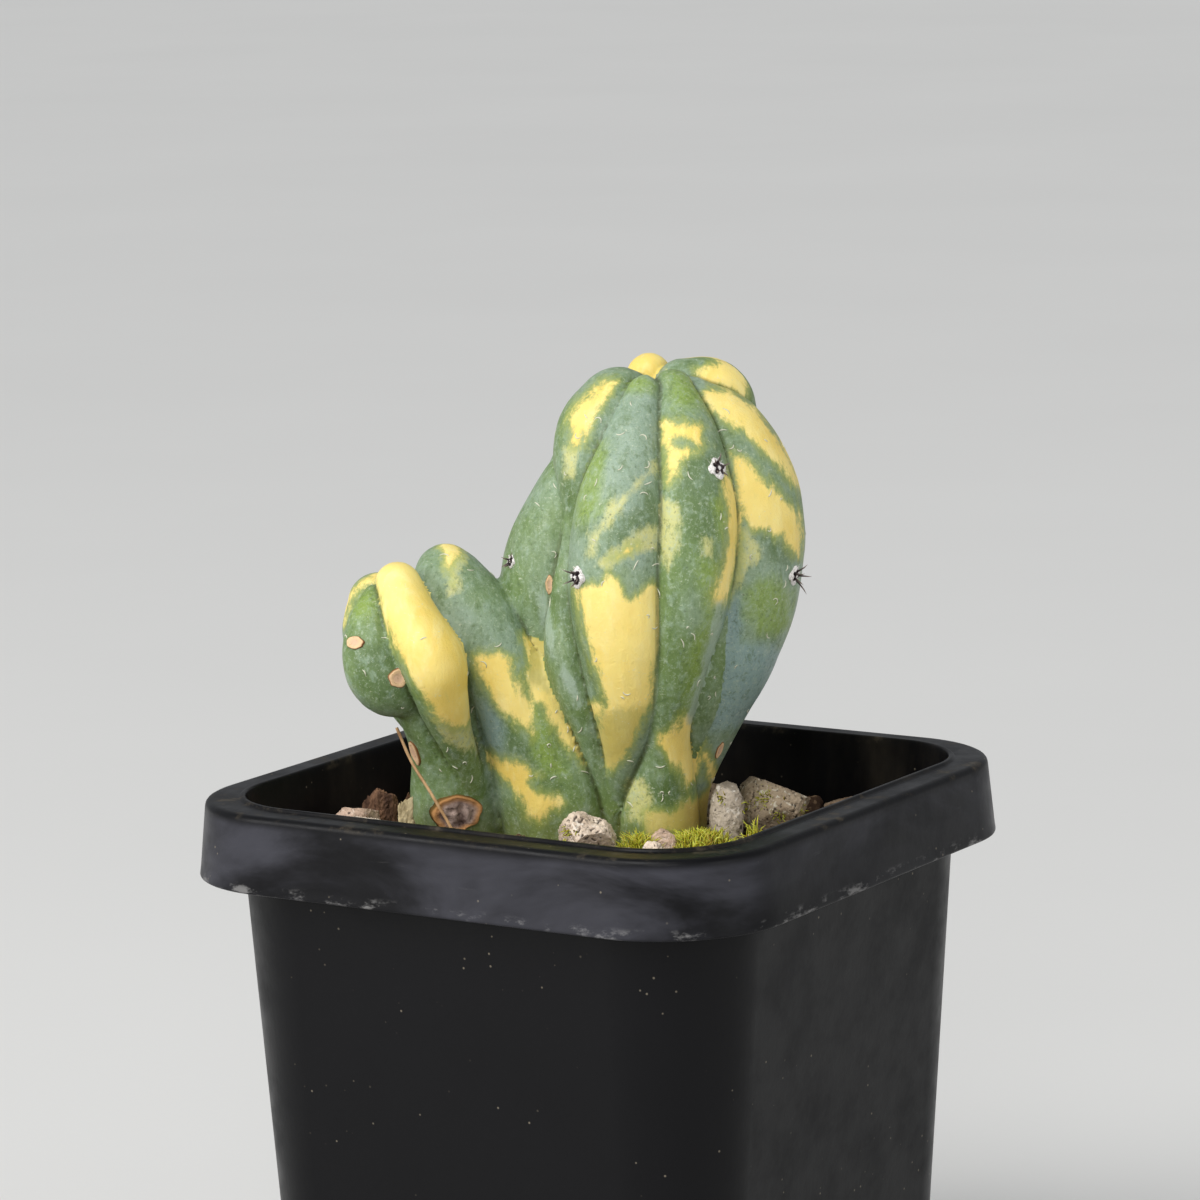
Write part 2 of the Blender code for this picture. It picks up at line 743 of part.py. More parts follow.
def make_chips(parts, pockets):
    bark = make_material("bark", (0.09, 0.055, 0.04), 0.85)
    flake = make_material("flake", (0.42, 0.33, 0.24), 0.85)
    chips = [(f"bark_chip_{index + 1:02d}", chip, bark) for index, chip in enumerate(BARK_CHIPS)]
    for name, chip, material in (*chips, ("slab_chip", SLAB_CHIP, flake)):
        bm = bmesh.new()
        add_chip(bm, chip)
        add_object(name, bm, parts, material)
        add_chip(pockets, chip, GAP + 0.15)


def add_tube(bm, points, radius, sides):
    """A thin round tube through points of the plant's frame, with closed ends."""
    places = [to_pot(*point) for point in points]
    rings = []
    for index, place in enumerate(places):
        along = places[min(index + 1, len(places) - 1)] - places[max(index - 1, 0)]
        turn = along.to_track_quat("Z", "Y")
        ring = []
        for side in range(sides):
            angle = 2 * math.pi * side / sides
            offset = Vector((radius * math.cos(angle), radius * math.sin(angle), 0))
            ring.append(bm.verts.new(place + turn @ offset))
        rings.append(ring)
    loft(bm, rings)


def make_stalk(parts, pockets):
    bm = bmesh.new()
    smooth = [tuple(point[:3]) for point in sampled([(*p, 0.0) for p in STALK_PATH], 1.5)]
    add_tube(bm, smooth, STALK_RADIUS, 6)
    straw = make_material("straw", (0.55, 0.42, 0.28), 0.8)
    add_object("dry_stalk", bm, parts, straw)
    foot, above = Vector(STALK_PATH[0]), Vector(STALK_PATH[1])
    along = (above - foot).normalized()
    add_tube(pockets, [tuple(foot - along * GAP), tuple(above)], STALK_RADIUS + GAP, 6)


def main():
    clear_scene()
    parts = make_collection("potted_candle_cactus")
    cutters = make_collection("cutters")
    make_pot(parts, cutters)
    make_cactus(parts, cutters)
    pockets = bmesh.new()
    make_stones(parts, pockets)
    make_chips(parts, pockets)
    make_stalk(parts, pockets)
    make_soil(parts, cutters, pockets)


main()
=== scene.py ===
"""Looks of the potted candle cactus.

Shapes are worked out in millimetres and in the pot's frame, as in the CAD source, and add_object turns them
into metres. Tables of the plant and its stones are in the plant's own frame: x to the viewer's right,
y away from the viewer, z above the soil.
"""

import json
import math

import bmesh
import bpy
import numpy as np
from mathutils import Matrix, Vector, noise
from mathutils.bvhtree import BVHTree

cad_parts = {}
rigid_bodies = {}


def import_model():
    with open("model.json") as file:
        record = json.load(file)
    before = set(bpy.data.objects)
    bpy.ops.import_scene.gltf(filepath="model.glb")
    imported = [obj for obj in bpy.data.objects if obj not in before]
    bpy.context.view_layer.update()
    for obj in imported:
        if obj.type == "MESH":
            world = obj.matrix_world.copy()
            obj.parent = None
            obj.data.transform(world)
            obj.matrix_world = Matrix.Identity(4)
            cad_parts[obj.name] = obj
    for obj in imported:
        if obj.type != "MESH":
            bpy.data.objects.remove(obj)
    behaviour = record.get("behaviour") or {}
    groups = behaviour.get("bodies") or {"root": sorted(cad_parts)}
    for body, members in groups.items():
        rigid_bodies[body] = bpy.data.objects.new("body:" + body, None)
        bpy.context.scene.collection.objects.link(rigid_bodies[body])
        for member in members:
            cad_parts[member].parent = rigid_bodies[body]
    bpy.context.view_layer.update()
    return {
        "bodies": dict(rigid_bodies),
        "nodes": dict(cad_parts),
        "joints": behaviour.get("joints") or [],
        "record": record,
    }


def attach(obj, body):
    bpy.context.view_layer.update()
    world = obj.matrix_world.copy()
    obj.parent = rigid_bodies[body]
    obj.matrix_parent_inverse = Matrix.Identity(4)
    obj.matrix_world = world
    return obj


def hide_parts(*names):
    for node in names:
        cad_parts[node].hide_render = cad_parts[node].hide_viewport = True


MM = 0.001
VERY_FAR = 1e9
BODY = "root"

# Pot and soil, as in the CAD source
POT_HEIGHT = 72.0
RIM_HALF = 35.0
RIM_RADIUS = 12.7
LEDGE_WIDTH = 3.3
BAND_HEIGHT = 8.5
BAND_FLARE = 0.9
BAND_THICKNESS = 1.0
RIM_THICKNESS = 1.2
BODY_HALF = 32.5
BODY_RADIUS = 12.8
BODY_TAPER = 0.07
MOUTH_HALF = 31.0
MOUTH_RADIUS = 9.9
LIP_HEIGHT = 0.3
FOOT_HALF = 24.0
FOOT_RADIUS = 5.5
FOOT_HEIGHT = 1.6
FLOOR_TOP = 2.8
FLOOR_HALF = 26.6
FLOOR_RADIUS = 7.0
FLOOR_BEND = 6.0
FLOOR_INSET = 2.2
DRAIN_RADIUS = 4.0
CORNER_DRAIN_RADIUS = 3.5
CORNER_DRAIN_AT = 15.0
SOIL_LEVEL = 63.0

# Plant frame, as in the CAD source
PLANT_TURN = math.radians(32.4)
PLANT_LEAN = 0.0229
PLANT_SHIFT = 0.25
STEM_X = 5.6
STEM_Y = 5.0

# Finer than in the CAD source: steps round a corner of the pot, spacing of a rib's balls, skin's voxel
CORNER_STEPS = 22
SAMPLE_STEP = 0.7
VOXEL = 0.36
# The skin ends at this height, hidden in the soil
SKIN_BOTTOM = 60.5


def around_stem(*rows):
    """A rib of the main stem, in rows of degrees round from the viewer, distance from the axis, z, radius."""
    rib = []
    for turn, reach, z, radius in rows:
        angle = math.radians(turn)
        rib.append((STEM_X + reach * math.sin(angle), STEM_Y - reach * math.cos(angle), z, radius))
    return rib


RIBS = {
    "left": around_stem(
        (-70, 1.5, 0, 4.0), (-80, 2.6, 8, 4.6), (-90, 6.8, 17, 5.8), (-95, 10.3, 25, 6.5),
        (-92, 10.3, 32, 6.7), (-88, 7.7, 38.5, 6.2), (-85, 4.8, 44, 5.0),
    ),
    "front_left": (
        (2.2, 2.4, -2, 2.4), (1.1, 0.2, 7, 2.4), (-1.1, -1.1, 15, 2.9), (-3.2, -1.4, 22.5, 3.5),
        (-2.6, -0.9, 30, 3.5), (-0.9, 0.5, 38, 4.2), (0.3, 2.4, 45.6, 6.0), (1.6, 4.0, 49.2, 5.0),
    ),
    "front": (
        (2.9, 3.5, 0, 2.2), (2.2, -0.6, 8, 2.4), (2.6, -2.8, 16, 4.0), (2.3, -4.2, 24, 5.4),
        (1.7, -4.4, 31.5, 5.9), (2.1, -3.9, 39, 5.5), (3.0, -1.9, 45.5, 4.3), (4.4, 1.2, 50.8, 2.9),
    ),
    "front_right": (
        (6.0, 0.3, -2, 5.0), (5.9, -0.5, 6, 4.5), (6.0, -2.1, 14, 3.7), (6.9, -3.8, 22, 4.4),
        (8.6, -4.5, 30, 5.2), (9.4, -4.3, 38, 5.1), (8.8, -2.0, 45.5, 4.3), (7.3, 1.8, 51.4, 2.7),
    ),
    "right": around_stem(
        (70, 2.6, 0, 3.4), (72, 3.2, 8, 3.5), (75, 5.2, 16, 5.2), (79, 7.3, 24, 7.1), (81, 8.5, 32, 8.1),
        (81, 8.5, 39, 7.8), (80, 7.0, 45, 6.2), (75, 4.0, 49.2, 3.8),
    ),
    "back_right": around_stem(
        (130, 2.0, 0, 4.0), (130, 3.0, 8, 3.8), (130, 5.6, 17, 5.4), (130, 8.1, 28, 7.0),
        (130, 8.6, 38, 6.8), (122, 7.9, 46.2, 5.1), (116, 7.0, 50.2, 4.2), (130, 4.0, 51.5, 3.0),
    ),
    "back_fold": around_stem(
        (165, 8.0, 28, 6.0), (165, 8.0, 40, 6.0), (150, 4.8, 48.0, 3.6), (140, 2.2, 52.0, 1.5),
    ),
    "back": around_stem(
        (-160, 2.0, 0, 4.2), (-165, 4.0, 8, 5.0), (-168, 8.0, 19, 6.2), (-170, 9.3, 29, 7.0),
        (-172, 9.0, 39, 6.6), (-175, 7.4, 47, 4.6), (-173, 5.6, 52.4, 2.5),
    ),
    "back_left": around_stem(
        (-125, 2.0, 0, 4.2), (-128, 4.0, 8, 4.8), (-130, 7.6, 19, 6.0), (-130, 9.3, 29, 6.8),
        (-130, 8.7, 38, 6.4), (-130, 6.6, 45, 4.8), (-140, 4.0, 50, 3.0),
    ),
    "core": (
        (5.6, 5.0, -8, 5.0), (5.6, 5.0, 2, 5.6), (5.6, 5.0, 12, 7.0), (5.6, 5.0, 22, 11.0),
        (5.6, 5.0, 32, 12.4), (5.6, 5.0, 40, 10.5), (5.6, 5.0, 45, 7.0),
    ),
    "outer": (
        (-17.3, 4.2, -4, 4.2), (-17.6, 3.8, 6, 4.2), (-18.0, 2.6, 12.0, 3.8), (-20.9, 0.2, 18.6, 3.2),
        (-24.2, -1.6, 20.6, 3.8), (-25.6, -1.8, 23.4, 3.5), (-25.7, -0.9, 26.4, 2.9),
        (-24.8, 0.5, 29.0, 2.3),
    ),
    "outer_back": (
        (-17.0, 5.0, 13, 3.8), (-22.0, 5.0, 19.5, 4.0), (-25.2, 4.8, 24.4, 4.0), (-25.2, 4.6, 28.3, 3.5),
    ),
    "middle": (
        (-14.4, 3.6, 5, 2.0), (-15.6, 1.2, 10, 2.1), (-16.9, -1.2, 14.5, 2.3), (-18.2, -3.3, 19.5, 3.1),
        (-19.1, -3.8, 23.2, 3.8), (-21.3, -2.7, 27.4, 3.2), (-22.9, -0.4, 31.1, 2.6),
    ),
    "inner": (
        (-6.5, 4.0, 0, 4.5), (-7.5, 3.0, 9, 5.2), (-9.7, 2.5, 17, 5.3), (-13.2, 3.0, 24.0, 5.1),
        (-16.8, 4.0, 29.2, 4.6), (-17.8, 5.0, 31.3, 3.5),
    ),
    "branch_back": (
        (-14.0, 6.5, 4, 4.3), (-15.5, 7.6, 14, 4.9), (-18.6, 8.4, 22, 5.0), (-19.2, 8.0, 27.6, 4.3),
    ),
    "joint": (
        (-3.4, 3.5, -2, 4.8), (-4.0, 2.6, 7, 5.2), (-5.4, 2.8, 14, 5.1), (-6.6, 3.8, 19.5, 4.6),
        (-6.0, 4.8, 24.0, 4.8),
    ),
    "joint_side": (
        (-5.0, 3.7, -2, 4.8), (-5.8, 2.7, 8, 5.3), (-7.5, 2.5, 15.5, 5.3), (-9.4, 3.2, 20.0, 5.0),
    ),
    "branch_core": (
        (-16.2, 5.0, -8, 4.0), (-16.0, 5.0, 5, 4.5), (-16.6, 4.5, 14, 4.8), (-18.8, 4.0, 22, 5.2),
    ),
}

# Grooves between the ribs: depth and widths in millimetres, and the turn between two ribs that has all of it
CREASE_DEPTH = 0.5
CREASE_LEAST = 0.4
CREASE_MORE = 0.45
CREASE_TURN = 0.5

# Share of grey-blue wax on each rib, at its foot and at its tip, and on the ribs that the list leaves out
BLOOM = {
    "left": (0.25, 0.5),
    "front_left": (0.3, 0.45),
    "front": (0.45, 0.95),
    "front_right": (0.1, 0.35),
    "right": (0.85, 0.55),
    "back_right": (0.5, 0.2),
    "outer": (0.15, 0.25),
    "middle": (0.1, 0.2),
    "inner": (0.2, 0.75),
    "joint": (0.1, 0.4),
    "joint_side": (0.1, 0.35),
}
COMMON_BLOOM = (0.35, 0.5)

# The camera, fitted to the pot's rim: turns in degrees, lengths in millimetres
CAMERA_AZIMUTH = 32.374
CAMERA_ELEVATION = 11.767
CAMERA_YAW = -0.035
CAMERA_PITCH = -1.933
CAMERA_ROLL = -1.312
CAMERA_DISTANCE = 578.33
FRAME_PIXELS = 1200
FOCAL_PIXELS = 5198.6
SENSOR_WIDTH = 36.0

# Light, in metres. Places are how far toward the viewer, to the viewer's right and up from the pot
SKY_COLOUR = (0.93, 0.96, 1.0, 1.0)
SKY_STRENGTH = 0.4
# Only the direction of the sun's place counts
SUN_PLACE = (0.6, -0.5, 1.0)
SUN_STRENGTH = 1.75
SUN_SPREAD = 34
LIGHT_TARGET = (0.0, 0.0, 0.085)
# Soft lights: name, place, width and height, power, colour
SOFT_LIGHTS = (
    ("band", (0.34, -0.72, 0.4), (0.42, 0.34), 3.0, (1.0, 0.99, 0.98)),
    ("front", (0.9, -0.1, 0.5), (0.3, 0.3), 1.6, (1.0, 1.0, 1.0)),
    ("fill", (0.6, 0.75, 0.3), (0.6, 0.5), 1.2, (1.0, 1.0, 1.0)),
)
FLOOR_REACH = 9

# Variegation drawn rib by rib in the frame's pixels: kind, ribs, outline. Dark outlines are darker green and
# painted shade in grooves and under bulges; the thin edge lines are painted highlights, partly wax
PATCHES = (
    ("yellow", "front_left", (
        (617, 382), (612, 390), (606, 398), (597, 405), (590, 420), (585, 435), (580, 448), (575, 448),
        (570, 440), (568, 425), (572, 410), (580, 400), (588, 393), (597, 385), (606, 382),
    )),
    ("pale", "front_left", ((565, 448), (580, 448), (574, 478), (566, 476))),
    # Painted shade in the grooves beside the front_left rib
    ("dark", "front_left", ((560, 470), (577, 470), (577, 515), (560, 515))),
    ("dark", "front_left", (
        (545, 590), (575, 590), (582, 640), (600, 700), (590, 700), (570, 650), (552, 620),
    )),
    ("fresh", "front", ((610, 372), (655, 366), (650, 392), (618, 396))),
    ("fresh", "front_right", ((664, 370), (705, 372), (708, 412), (672, 408))),
    ("fresh", "front", ((572, 436), (606, 440), (604, 480), (602, 515), (576, 522), (572, 480))),
    ("pale", "front", (
        (585, 556), (592, 535), (606, 513), (622, 496), (638, 480), (655, 462), (657, 468), (642, 485),
        (628, 500), (614, 516), (600, 537), (594, 555),
    )),
    ("dark", "front", (
        (600, 545), (625, 515), (645, 490), (655, 480), (660, 500), (658, 530), (640, 540), (610, 560),
    )),
    ("pale", "front", (
        (598, 566), (610, 550), (628, 538), (650, 526), (662, 528), (660, 548), (640, 552), (625, 562),
        (610, 568),
    )),
    ("yellow", "front", ((612, 558), (624, 549), (636, 546), (630, 554), (620, 560))),
    ("yellow", "front", (
        (580, 587), (595, 584), (603, 580), (611, 576), (618, 577), (622, 583), (627, 593), (632, 597),
        (637, 592), (645, 586), (655, 583), (662, 590), (664, 600), (664, 620), (663, 640), (658, 655),
        (655, 670), (654, 690), (652, 705), (645, 715), (640, 725), (636, 740), (628, 755), (615, 765),
        (606, 770), (603, 760), (601, 740), (600, 720), (604, 710), (607, 703), (603, 690), (598, 675),
        (592, 655), (586, 635), (582, 620), (579, 605), (578, 590),
    )),
    ("yellow", "front", ((588, 703), (602, 704), (603, 720), (592, 716))),
    ("olive", "front", ((598, 712), (655, 700), (640, 745), (612, 775), (598, 760))),
    # Painted shade in the groove between the front_left and front ribs
    ("dark", "front", (
        (556, 588), (578, 590), (582, 620), (590, 650), (600, 680), (606, 703), (600, 705), (590, 690),
        (580, 665), (570, 640), (562, 610),
    )),
    ("bluish", "front", ((654, 635), (668, 635), (668, 715), (652, 715))),
    ("yellow", "front_right", (
        (662, 422), (680, 424), (700, 424), (703, 430), (702, 440), (704, 446), (695, 442), (688, 440),
        (680, 437), (672, 440), (675, 448), (690, 447), (697, 452), (688, 456), (680, 460), (677, 470),
        (670, 480), (667, 485), (668, 470), (667, 455), (663, 440),
    )),
    ("pale", "front_right", (
        (658, 496), (670, 500), (678, 510), (681, 522), (679, 542), (674, 562), (668, 574), (662, 562),
        (658, 540), (658, 520),
    )),
    # Painted highlights: thin pale lines along the edges of ribs, partly pale wax
    ("ridge_highlight", "front_left joint left", (
        (540, 585), (544, 585), (550, 620), (560, 655), (570, 680), (582, 705), (579, 708), (566, 684),
        (556, 657), (545, 624),
    )),
    ("ridge_highlight", "right front_right", (
        (722, 602), (716, 640), (706, 675), (700, 700), (696, 722), (689, 722), (692, 698), (701, 668),
        (710, 638), (717, 602),
    )),
    ("bluish", "right front_right", (
        (724, 606), (745, 590), (742, 640), (790, 650), (770, 700), (735, 730), (698, 730), (706, 670),
    )),
    ("fresh", "right", ((745, 590), (770, 575), (795, 592), (790, 630), (760, 635), (745, 615))),
    ("bluish", "inner joint middle", ((470, 690), (488, 698), (505, 730), (500, 752), (478, 745))),
    ("pale", "front_right", ((701, 536), (714, 538), (712, 557), (703, 556))),
    ("yellow", "front_right right", (
        (722, 474), (731, 480), (737, 500), (741, 515), (740, 540), (737, 562), (731, 584), (724, 604),
        (714, 606), (713, 592), (719, 575), (723, 550), (727, 530), (728, 515), (725, 495),
    )),
    ("dark", "front_right", ((680, 455), (714, 452), (728, 490), (724, 545), (690, 545), (679, 510))),
    ("fresh", "front_right", ((714, 498), (731, 505), (729, 545), (716, 545))),
    ("fresh", "front_right", (
        (700, 560), (722, 562), (716, 600), (718, 642), (708, 655), (706, 700), (684, 715), (690, 650),
        (704, 620),
    )),
    ("yellow", "front_right right", (
        (660, 735), (672, 730), (682, 720), (686, 715), (692, 720), (697, 735), (702, 752), (700, 770),
        (695, 782), (688, 785), (683, 775), (675, 765), (665, 755), (659, 745),
    )),
    ("dark", "front_right", (
        (650, 775), (665, 772), (675, 780), (685, 795), (680, 803), (670, 808), (660, 805), (650, 795),
        (645, 785),
    )),
    ("pale", "front_right front", ((628, 778), (648, 784), (652, 800), (646, 822), (628, 820))),
    ("yellow", "front_right right", (
        (646, 812), (668, 813), (690, 802), (716, 784), (714, 832), (648, 832),
    )),
    ("olive", "front_right right", ((640, 800), (718, 780), (716, 836), (640, 836))),
    ("orange", "front_right right", ((684, 806), (716, 790), (714, 832), (680, 832))),
    ("yellow", "right front_right", (
        (700, 752), (706, 752), (718, 772), (716, 800), (710, 794), (710, 775),
    )),
    ("yellow", "right", (
        (703, 390), (720, 387), (735, 393), (757, 410), (770, 425), (785, 445), (796, 465), (802, 480),
        (802, 492), (793, 485), (785, 470), (775, 460), (762, 450), (750, 437), (738, 428), (725, 420),
        (712, 410), (705, 398),
    )),
    ("yellow", "right", (
        (730, 453), (742, 458), (755, 468), (768, 482), (780, 495), (793, 507), (800, 515), (803, 540),
        (799, 557), (790, 548), (785, 540), (783, 533), (775, 533), (765, 528), (755, 528), (748, 520),
        (742, 510), (738, 500), (735, 480),
    )),
    ("pale", "right", (
        (741, 523), (747, 530), (750, 538), (758, 548), (758, 558), (750, 565), (745, 572), (740, 582),
        (732, 592), (726, 600), (722, 603), (728, 585), (735, 565), (738, 545),
    )),
    ("dark", "right", ((758, 532), (792, 536), (800, 560), (775, 562))),
    ("yellow", "back_right", (
        (700, 372), (706, 368), (715, 360), (730, 358), (742, 370), (747, 385), (745, 395), (735, 392),
        (720, 385), (705, 388), (700, 380),
    )),
    ("yellow", "back", ((630, 348), (670, 348), (668, 372), (652, 373), (634, 368))),
    ("pale", "back_fold", ((664, 364), (682, 364), (682, 375), (664, 375))),
    ("yellow", "joint inner", (
        (476, 658), (495, 651), (509, 656), (516, 676), (523, 697), (531, 700), (527, 655), (524, 637),
        (546, 636), (556, 665), (568, 698), (582, 735), (590, 765), (581, 765), (560, 738), (542, 705),
        (533, 702), (533, 740), (520, 728), (510, 715), (496, 703), (484, 685),
    )),
    ("olive", "joint front_left left", (
        (524, 630), (550, 630), (566, 690), (590, 762), (578, 762), (552, 710), (540, 690), (526, 680),
    )),
    ("fresh", "joint front_left", ((514, 642), (523, 655), (530, 678), (528, 694), (521, 693), (515, 668))),
    ("fresh", "joint inner", ((502, 674), (510, 678), (508, 684))),
    ("fresh", "joint left", (
        (530, 708), (538, 704), (550, 730), (558, 750), (570, 777), (548, 775), (533, 755),
    )),
    ("dark", "joint inner", (
        (495, 705), (510, 718), (520, 735), (528, 745), (535, 757), (540, 770), (530, 768), (515, 758),
        (505, 745), (497, 730),
    )),
    ("yellow", "joint inner", (
        (486, 752), (500, 760), (524, 764), (538, 776), (530, 783), (542, 793), (562, 802), (548, 812),
        (540, 822), (528, 816), (522, 798), (505, 783), (495, 772),
    )),
    # Painted shade beside the front_left rib's left edge
    ("dark", "joint left front_left", (
        (541, 606), (548, 628), (562, 672), (582, 718), (590, 745), (594, 742), (584, 708), (566, 676),
        (550, 622),
    )),
    ("yellow", "middle", (
        (366, 560), (384, 545), (430, 545), (482, 600), (482, 700), (474, 722), (456, 728), (436, 716),
        (424, 698), (414, 680), (404, 664), (392, 640), (380, 610),
    )),
    ("pale", "middle", ((430, 700), (480, 690), (480, 750), (462, 752), (444, 740))),
    ("fresh", "outer", ((348, 592), (374, 588), (378, 616), (352, 622))),
    ("dark", "outer", ((348, 640), (392, 640), (420, 700), (400, 712), (360, 690))),
    ("yellow", "outer_back", (
        (345, 605), (350, 590), (360, 580), (375, 572), (383, 568), (385, 580), (370, 583), (358, 588),
        (350, 600), (345, 615), (343, 625),
    )),
    ("yellow", "inner", ((440, 540), (460, 538), (460, 552), (453, 566), (450, 582), (446, 562))),
    ("pale", "inner", ((436, 540), (466, 538), (466, 560), (458, 592), (448, 596), (446, 570))),
)
GROUPS = {"joint": ("joint", "joint_side"), "inner": ("inner", "joint_side")}
SEEN_RIBS = ("left", "front_left", "front", "front_right", "right", "outer", "middle", "inner", "joint",
             "joint_side", "branch_core", "core")
EDGE_RIBS = ("back_right", "back", "back_fold", "outer_back")
KINDS = ("yellow", "pale", "fresh", "dark", "olive", "bluish", "orange", "ridge_highlight")
# A patch also takes skin this much nearer to another rib, and none that is turned further from the viewer
RIB_MARGIN = 0.25
LEAST_FACING = -0.35
FIELD_LIMIT = 3.0
LEAST_RISE = 1e-9
# Drawn patches fade into seeded ones over this stretch of the plant's y
SEEN_DEPTH = 8.5
SEEN_FADE = 4.0
YELLOW_TIP = 52.0
UNSEEN_YELLOW = 0.24
PATCH_SEED = 7.3
# Seeded patches: size, how much longer they are upright, seed, level above which they show
UNSEEN_PATCHES = {
    "fresh": (6.0, 2.2, 21.0, 0.22),
    "dark": (5.0, 2.5, 33.0, 0.2),
    "pale": (3.6, 3.4, 41.0, 0.38),
}

# Areoles: a point near the skin, pad radius and spine length, as in the CAD source
AREOLES = (
    ((-3.1, -7.8, 32.7), 1.0, 1.2),
    ((12.2, -6.3, 44.1), 1.0, 1.1),
    ((20.9, -0.4, 31.1), 0.9, 1.7),
    ((-9.9, 2.3, 32.9), 0.6, 0.8),
    ((19.0, 15.5, 33.0), 1.0, 1.3),
    ((4.0, 21.5, 27.0), 1.0, 1.2),
    ((4.5, 19.5, 44.0), 0.9, 1.1),
    ((-7.5, 15.5, 36.0), 1.0, 1.3),
    ((-27.0, 9.0, 25.0), 0.8, 1.0),
    ((-19.5, 12.8, 25.0), 0.9, 1.2),
)
SPINES = 5
SPINE_SEED = 11
SPINE_RADII = (0.12, 0.1, 0.06, 0.012)
FELT_HAIRS = 70
HAIR_RADII = (0.03, 0.022, 0.008)

# Scars, then the cork patch: a point near the skin, half width, half height, thickness, as in the CAD source
SCARS = (
    ((-6.1, -0.9, 30.8), 0.5, 1.1, 0.16),
    ((-27.5, -4.2, 25.4), 1.1, 0.75, 0.22),
    ((-22.7, -5.1, 21.5), 1.1, 1.1, 0.24),
    ((-21.2, 0.2, 12.0), 0.7, 1.6, 0.3),
    ((12.7, 0.8, 11.4), 0.45, 1.1, 0.16),
)
CORK_PATCH = ((-16.4, -0.6, 5.1), 2.9, 2.1, 0.75)
# A scar's profile, and the edge of the cork patch's: share of the way out, share of the thickness
SCAR_ROWS = ((0.0, 0.6), (0.25, 0.55), (0.5, 0.7), (0.72, 1.0), (0.88, 0.95), (0.97, 0.5), (1.0, -0.9))
CORK_EDGE_ROWS = [(0.86, 0.82), (0.92, 0.9), (0.97, 0.6), (1.0, 0.1), (1.01, -1.0)]
DISC_SIDES = 40

# Thin pale scratches and curls on the skin: the frame's pixels they start at, length in pixels, turn, bend
SCRATCHES = (
    (646, 440, 12, 60, 200),
    (640, 494, 11, 35, -120),
    (600, 423, 14, 50, 260),
    (768, 497, 10, 30, 60),
    (652, 566, 12, 20, -40),
    (660, 598, 12, 80, 90),
    (783, 588, 11, 20, 150),
    (773, 600, 14, 40, -240),
    (694, 640, 11, 70, 120),
    (550, 780, 9, 60, -90),
    (446, 752, 10, 30, 80),
    (470, 783, 11, 50, 90),
    (573, 752, 9, 75, -60),
    (486, 668, 12, 70, 160),
    (420, 640, 8, 40, -50),
    (720, 520, 8, 55, 40),
    (540, 470, 10, 80, -60),
    (618, 470, 8, 15, 100),
)
PIXELS_PER_MM = 8.9
SEEDED_SCRATCHES = 150
SCRATCH_SEED = 27
THREAD_STEPS = 9
THREAD_RADIUS = 0.075

# Stones, chips and stalk, as in the CAD source: x, y, z, three radii, turns in degrees, seed
PLACED_STONES = (
    (-1.7, -6.5, 2.8, 4.6, 3.3, 4.2, 120, 483),
    (14.2, -1.0, 3.9, 2.5, 2.6, 5.4, 100, 469),
    (19.6, 6.8, 2.9, 5.6, 4.0, 4.9, 160, 393),
    (6.6, -6.9, 2.2, 1.6, 1.4, 2.6, 0, 4),
    (5.4, -10.4, 1.7, 1.5, 1.3, 2.0, 30, 5),
    (-27.4, 4.2, 2.4, 3.9, 3.2, 3.8, 80, 442),
    (-26.0, -2.4, 3.0, 3.1, 2.6, 3.8, 60, 283),
    (-9.2, -4.6, 1.5, 1.5, 1.4, 2.1, 0, 8),
    (16.8, -4.9, 1.4, 1.3, 1.1, 2.0, 0, 9),
    (12.2, -7.6, 0.9, 2.5, 1.6, 1.7, -15, 10),
)
SCATTERED_STONES = 35
SCATTER_SEED = 42
SCATTER_REACH = 29.8
SCATTER_LARGEST = 4.4
SCATTER_SMALLEST = 2.3
STONE_PLANES = 11
STONE_REACHES = (0.56, 0.88)
STONE_GAP = 0.3
STONE_CROWDING = 0.93
SCATTER_TRIES = 600
PLANT_FEET = (
    (6.2, 4.6, 8.6),
    (-3.8, 3.4, 6.6),
    (-10.0, 4.2, 6.2),
    (-16.6, 4.6, 6.6),
)
BARK_CHIPS = (
    (-25.3, 9.2, 3.1, 2.3, 1.3, 4.9, 25, 6, 166),
    (-22.0, 12.4, 2.3, 1.6, 0.9, 3.4, -30, -8, 22),
)
SLAB_CHIP = (-21.9, -1.5, 3.6, 1.3, 1.0, 5.0, 20, 4, 456)
STALK_PATH = (
    (-14.7, -4.3, -1.2),
    (-16.3, -3.9, 3.4),
    (-18.8, -3.1, 8.0),
    (-20.9, -2.0, 11.4),
    (-22.5, -1.2, 15.2),
)
STALK_RADIUS = 0.2

# How dark the painted shadow in a stone's pores is, as a share of its dark colour
PORE_DARKNESS = 0.42
# Stone finishes: light colour, dark colour, pale grain colour, share of pores
STONE_LOOKS = {
    "beige": ((232, 214, 194), (184, 162, 140), (244, 234, 220), 0.75),
    "grey": ((196, 182, 164), (128, 116, 100), (224, 216, 204), 0.35),
    "reddish": ((188, 168, 142), (124, 106, 84), (232, 226, 206), 0.6),
    "pinkish": ((218, 190, 168), (158, 128, 108), (238, 220, 204), 0.4),
    "tan": ((204, 178, 150), (138, 112, 88), (226, 210, 186), 0.5),
    "whitish": ((222, 214, 198), (168, 156, 138), (244, 240, 230), 0.45),
    "brown": ((112, 84, 62), (58, 40, 30), (158, 130, 100), 0.3),
}
PLACED_LOOKS = ("beige", "grey", "reddish", "pinkish", "beige", "pinkish", "beige", "brown", "tan", "beige")
SCATTERED_LOOKS = ("beige", "tan", "whitish", "reddish", "pinkish", "grey", "beige", "brown", "tan",
                   "whitish")

GRAINS = 5200
GRAIN_SEED = 5
GRAIN_SHAPES = 14
GRAIN_CORNERS = 9
GRAIN_LEAST = 0.26
GRAIN_MORE = 0.75
GRAIN_SKEW = 2.4

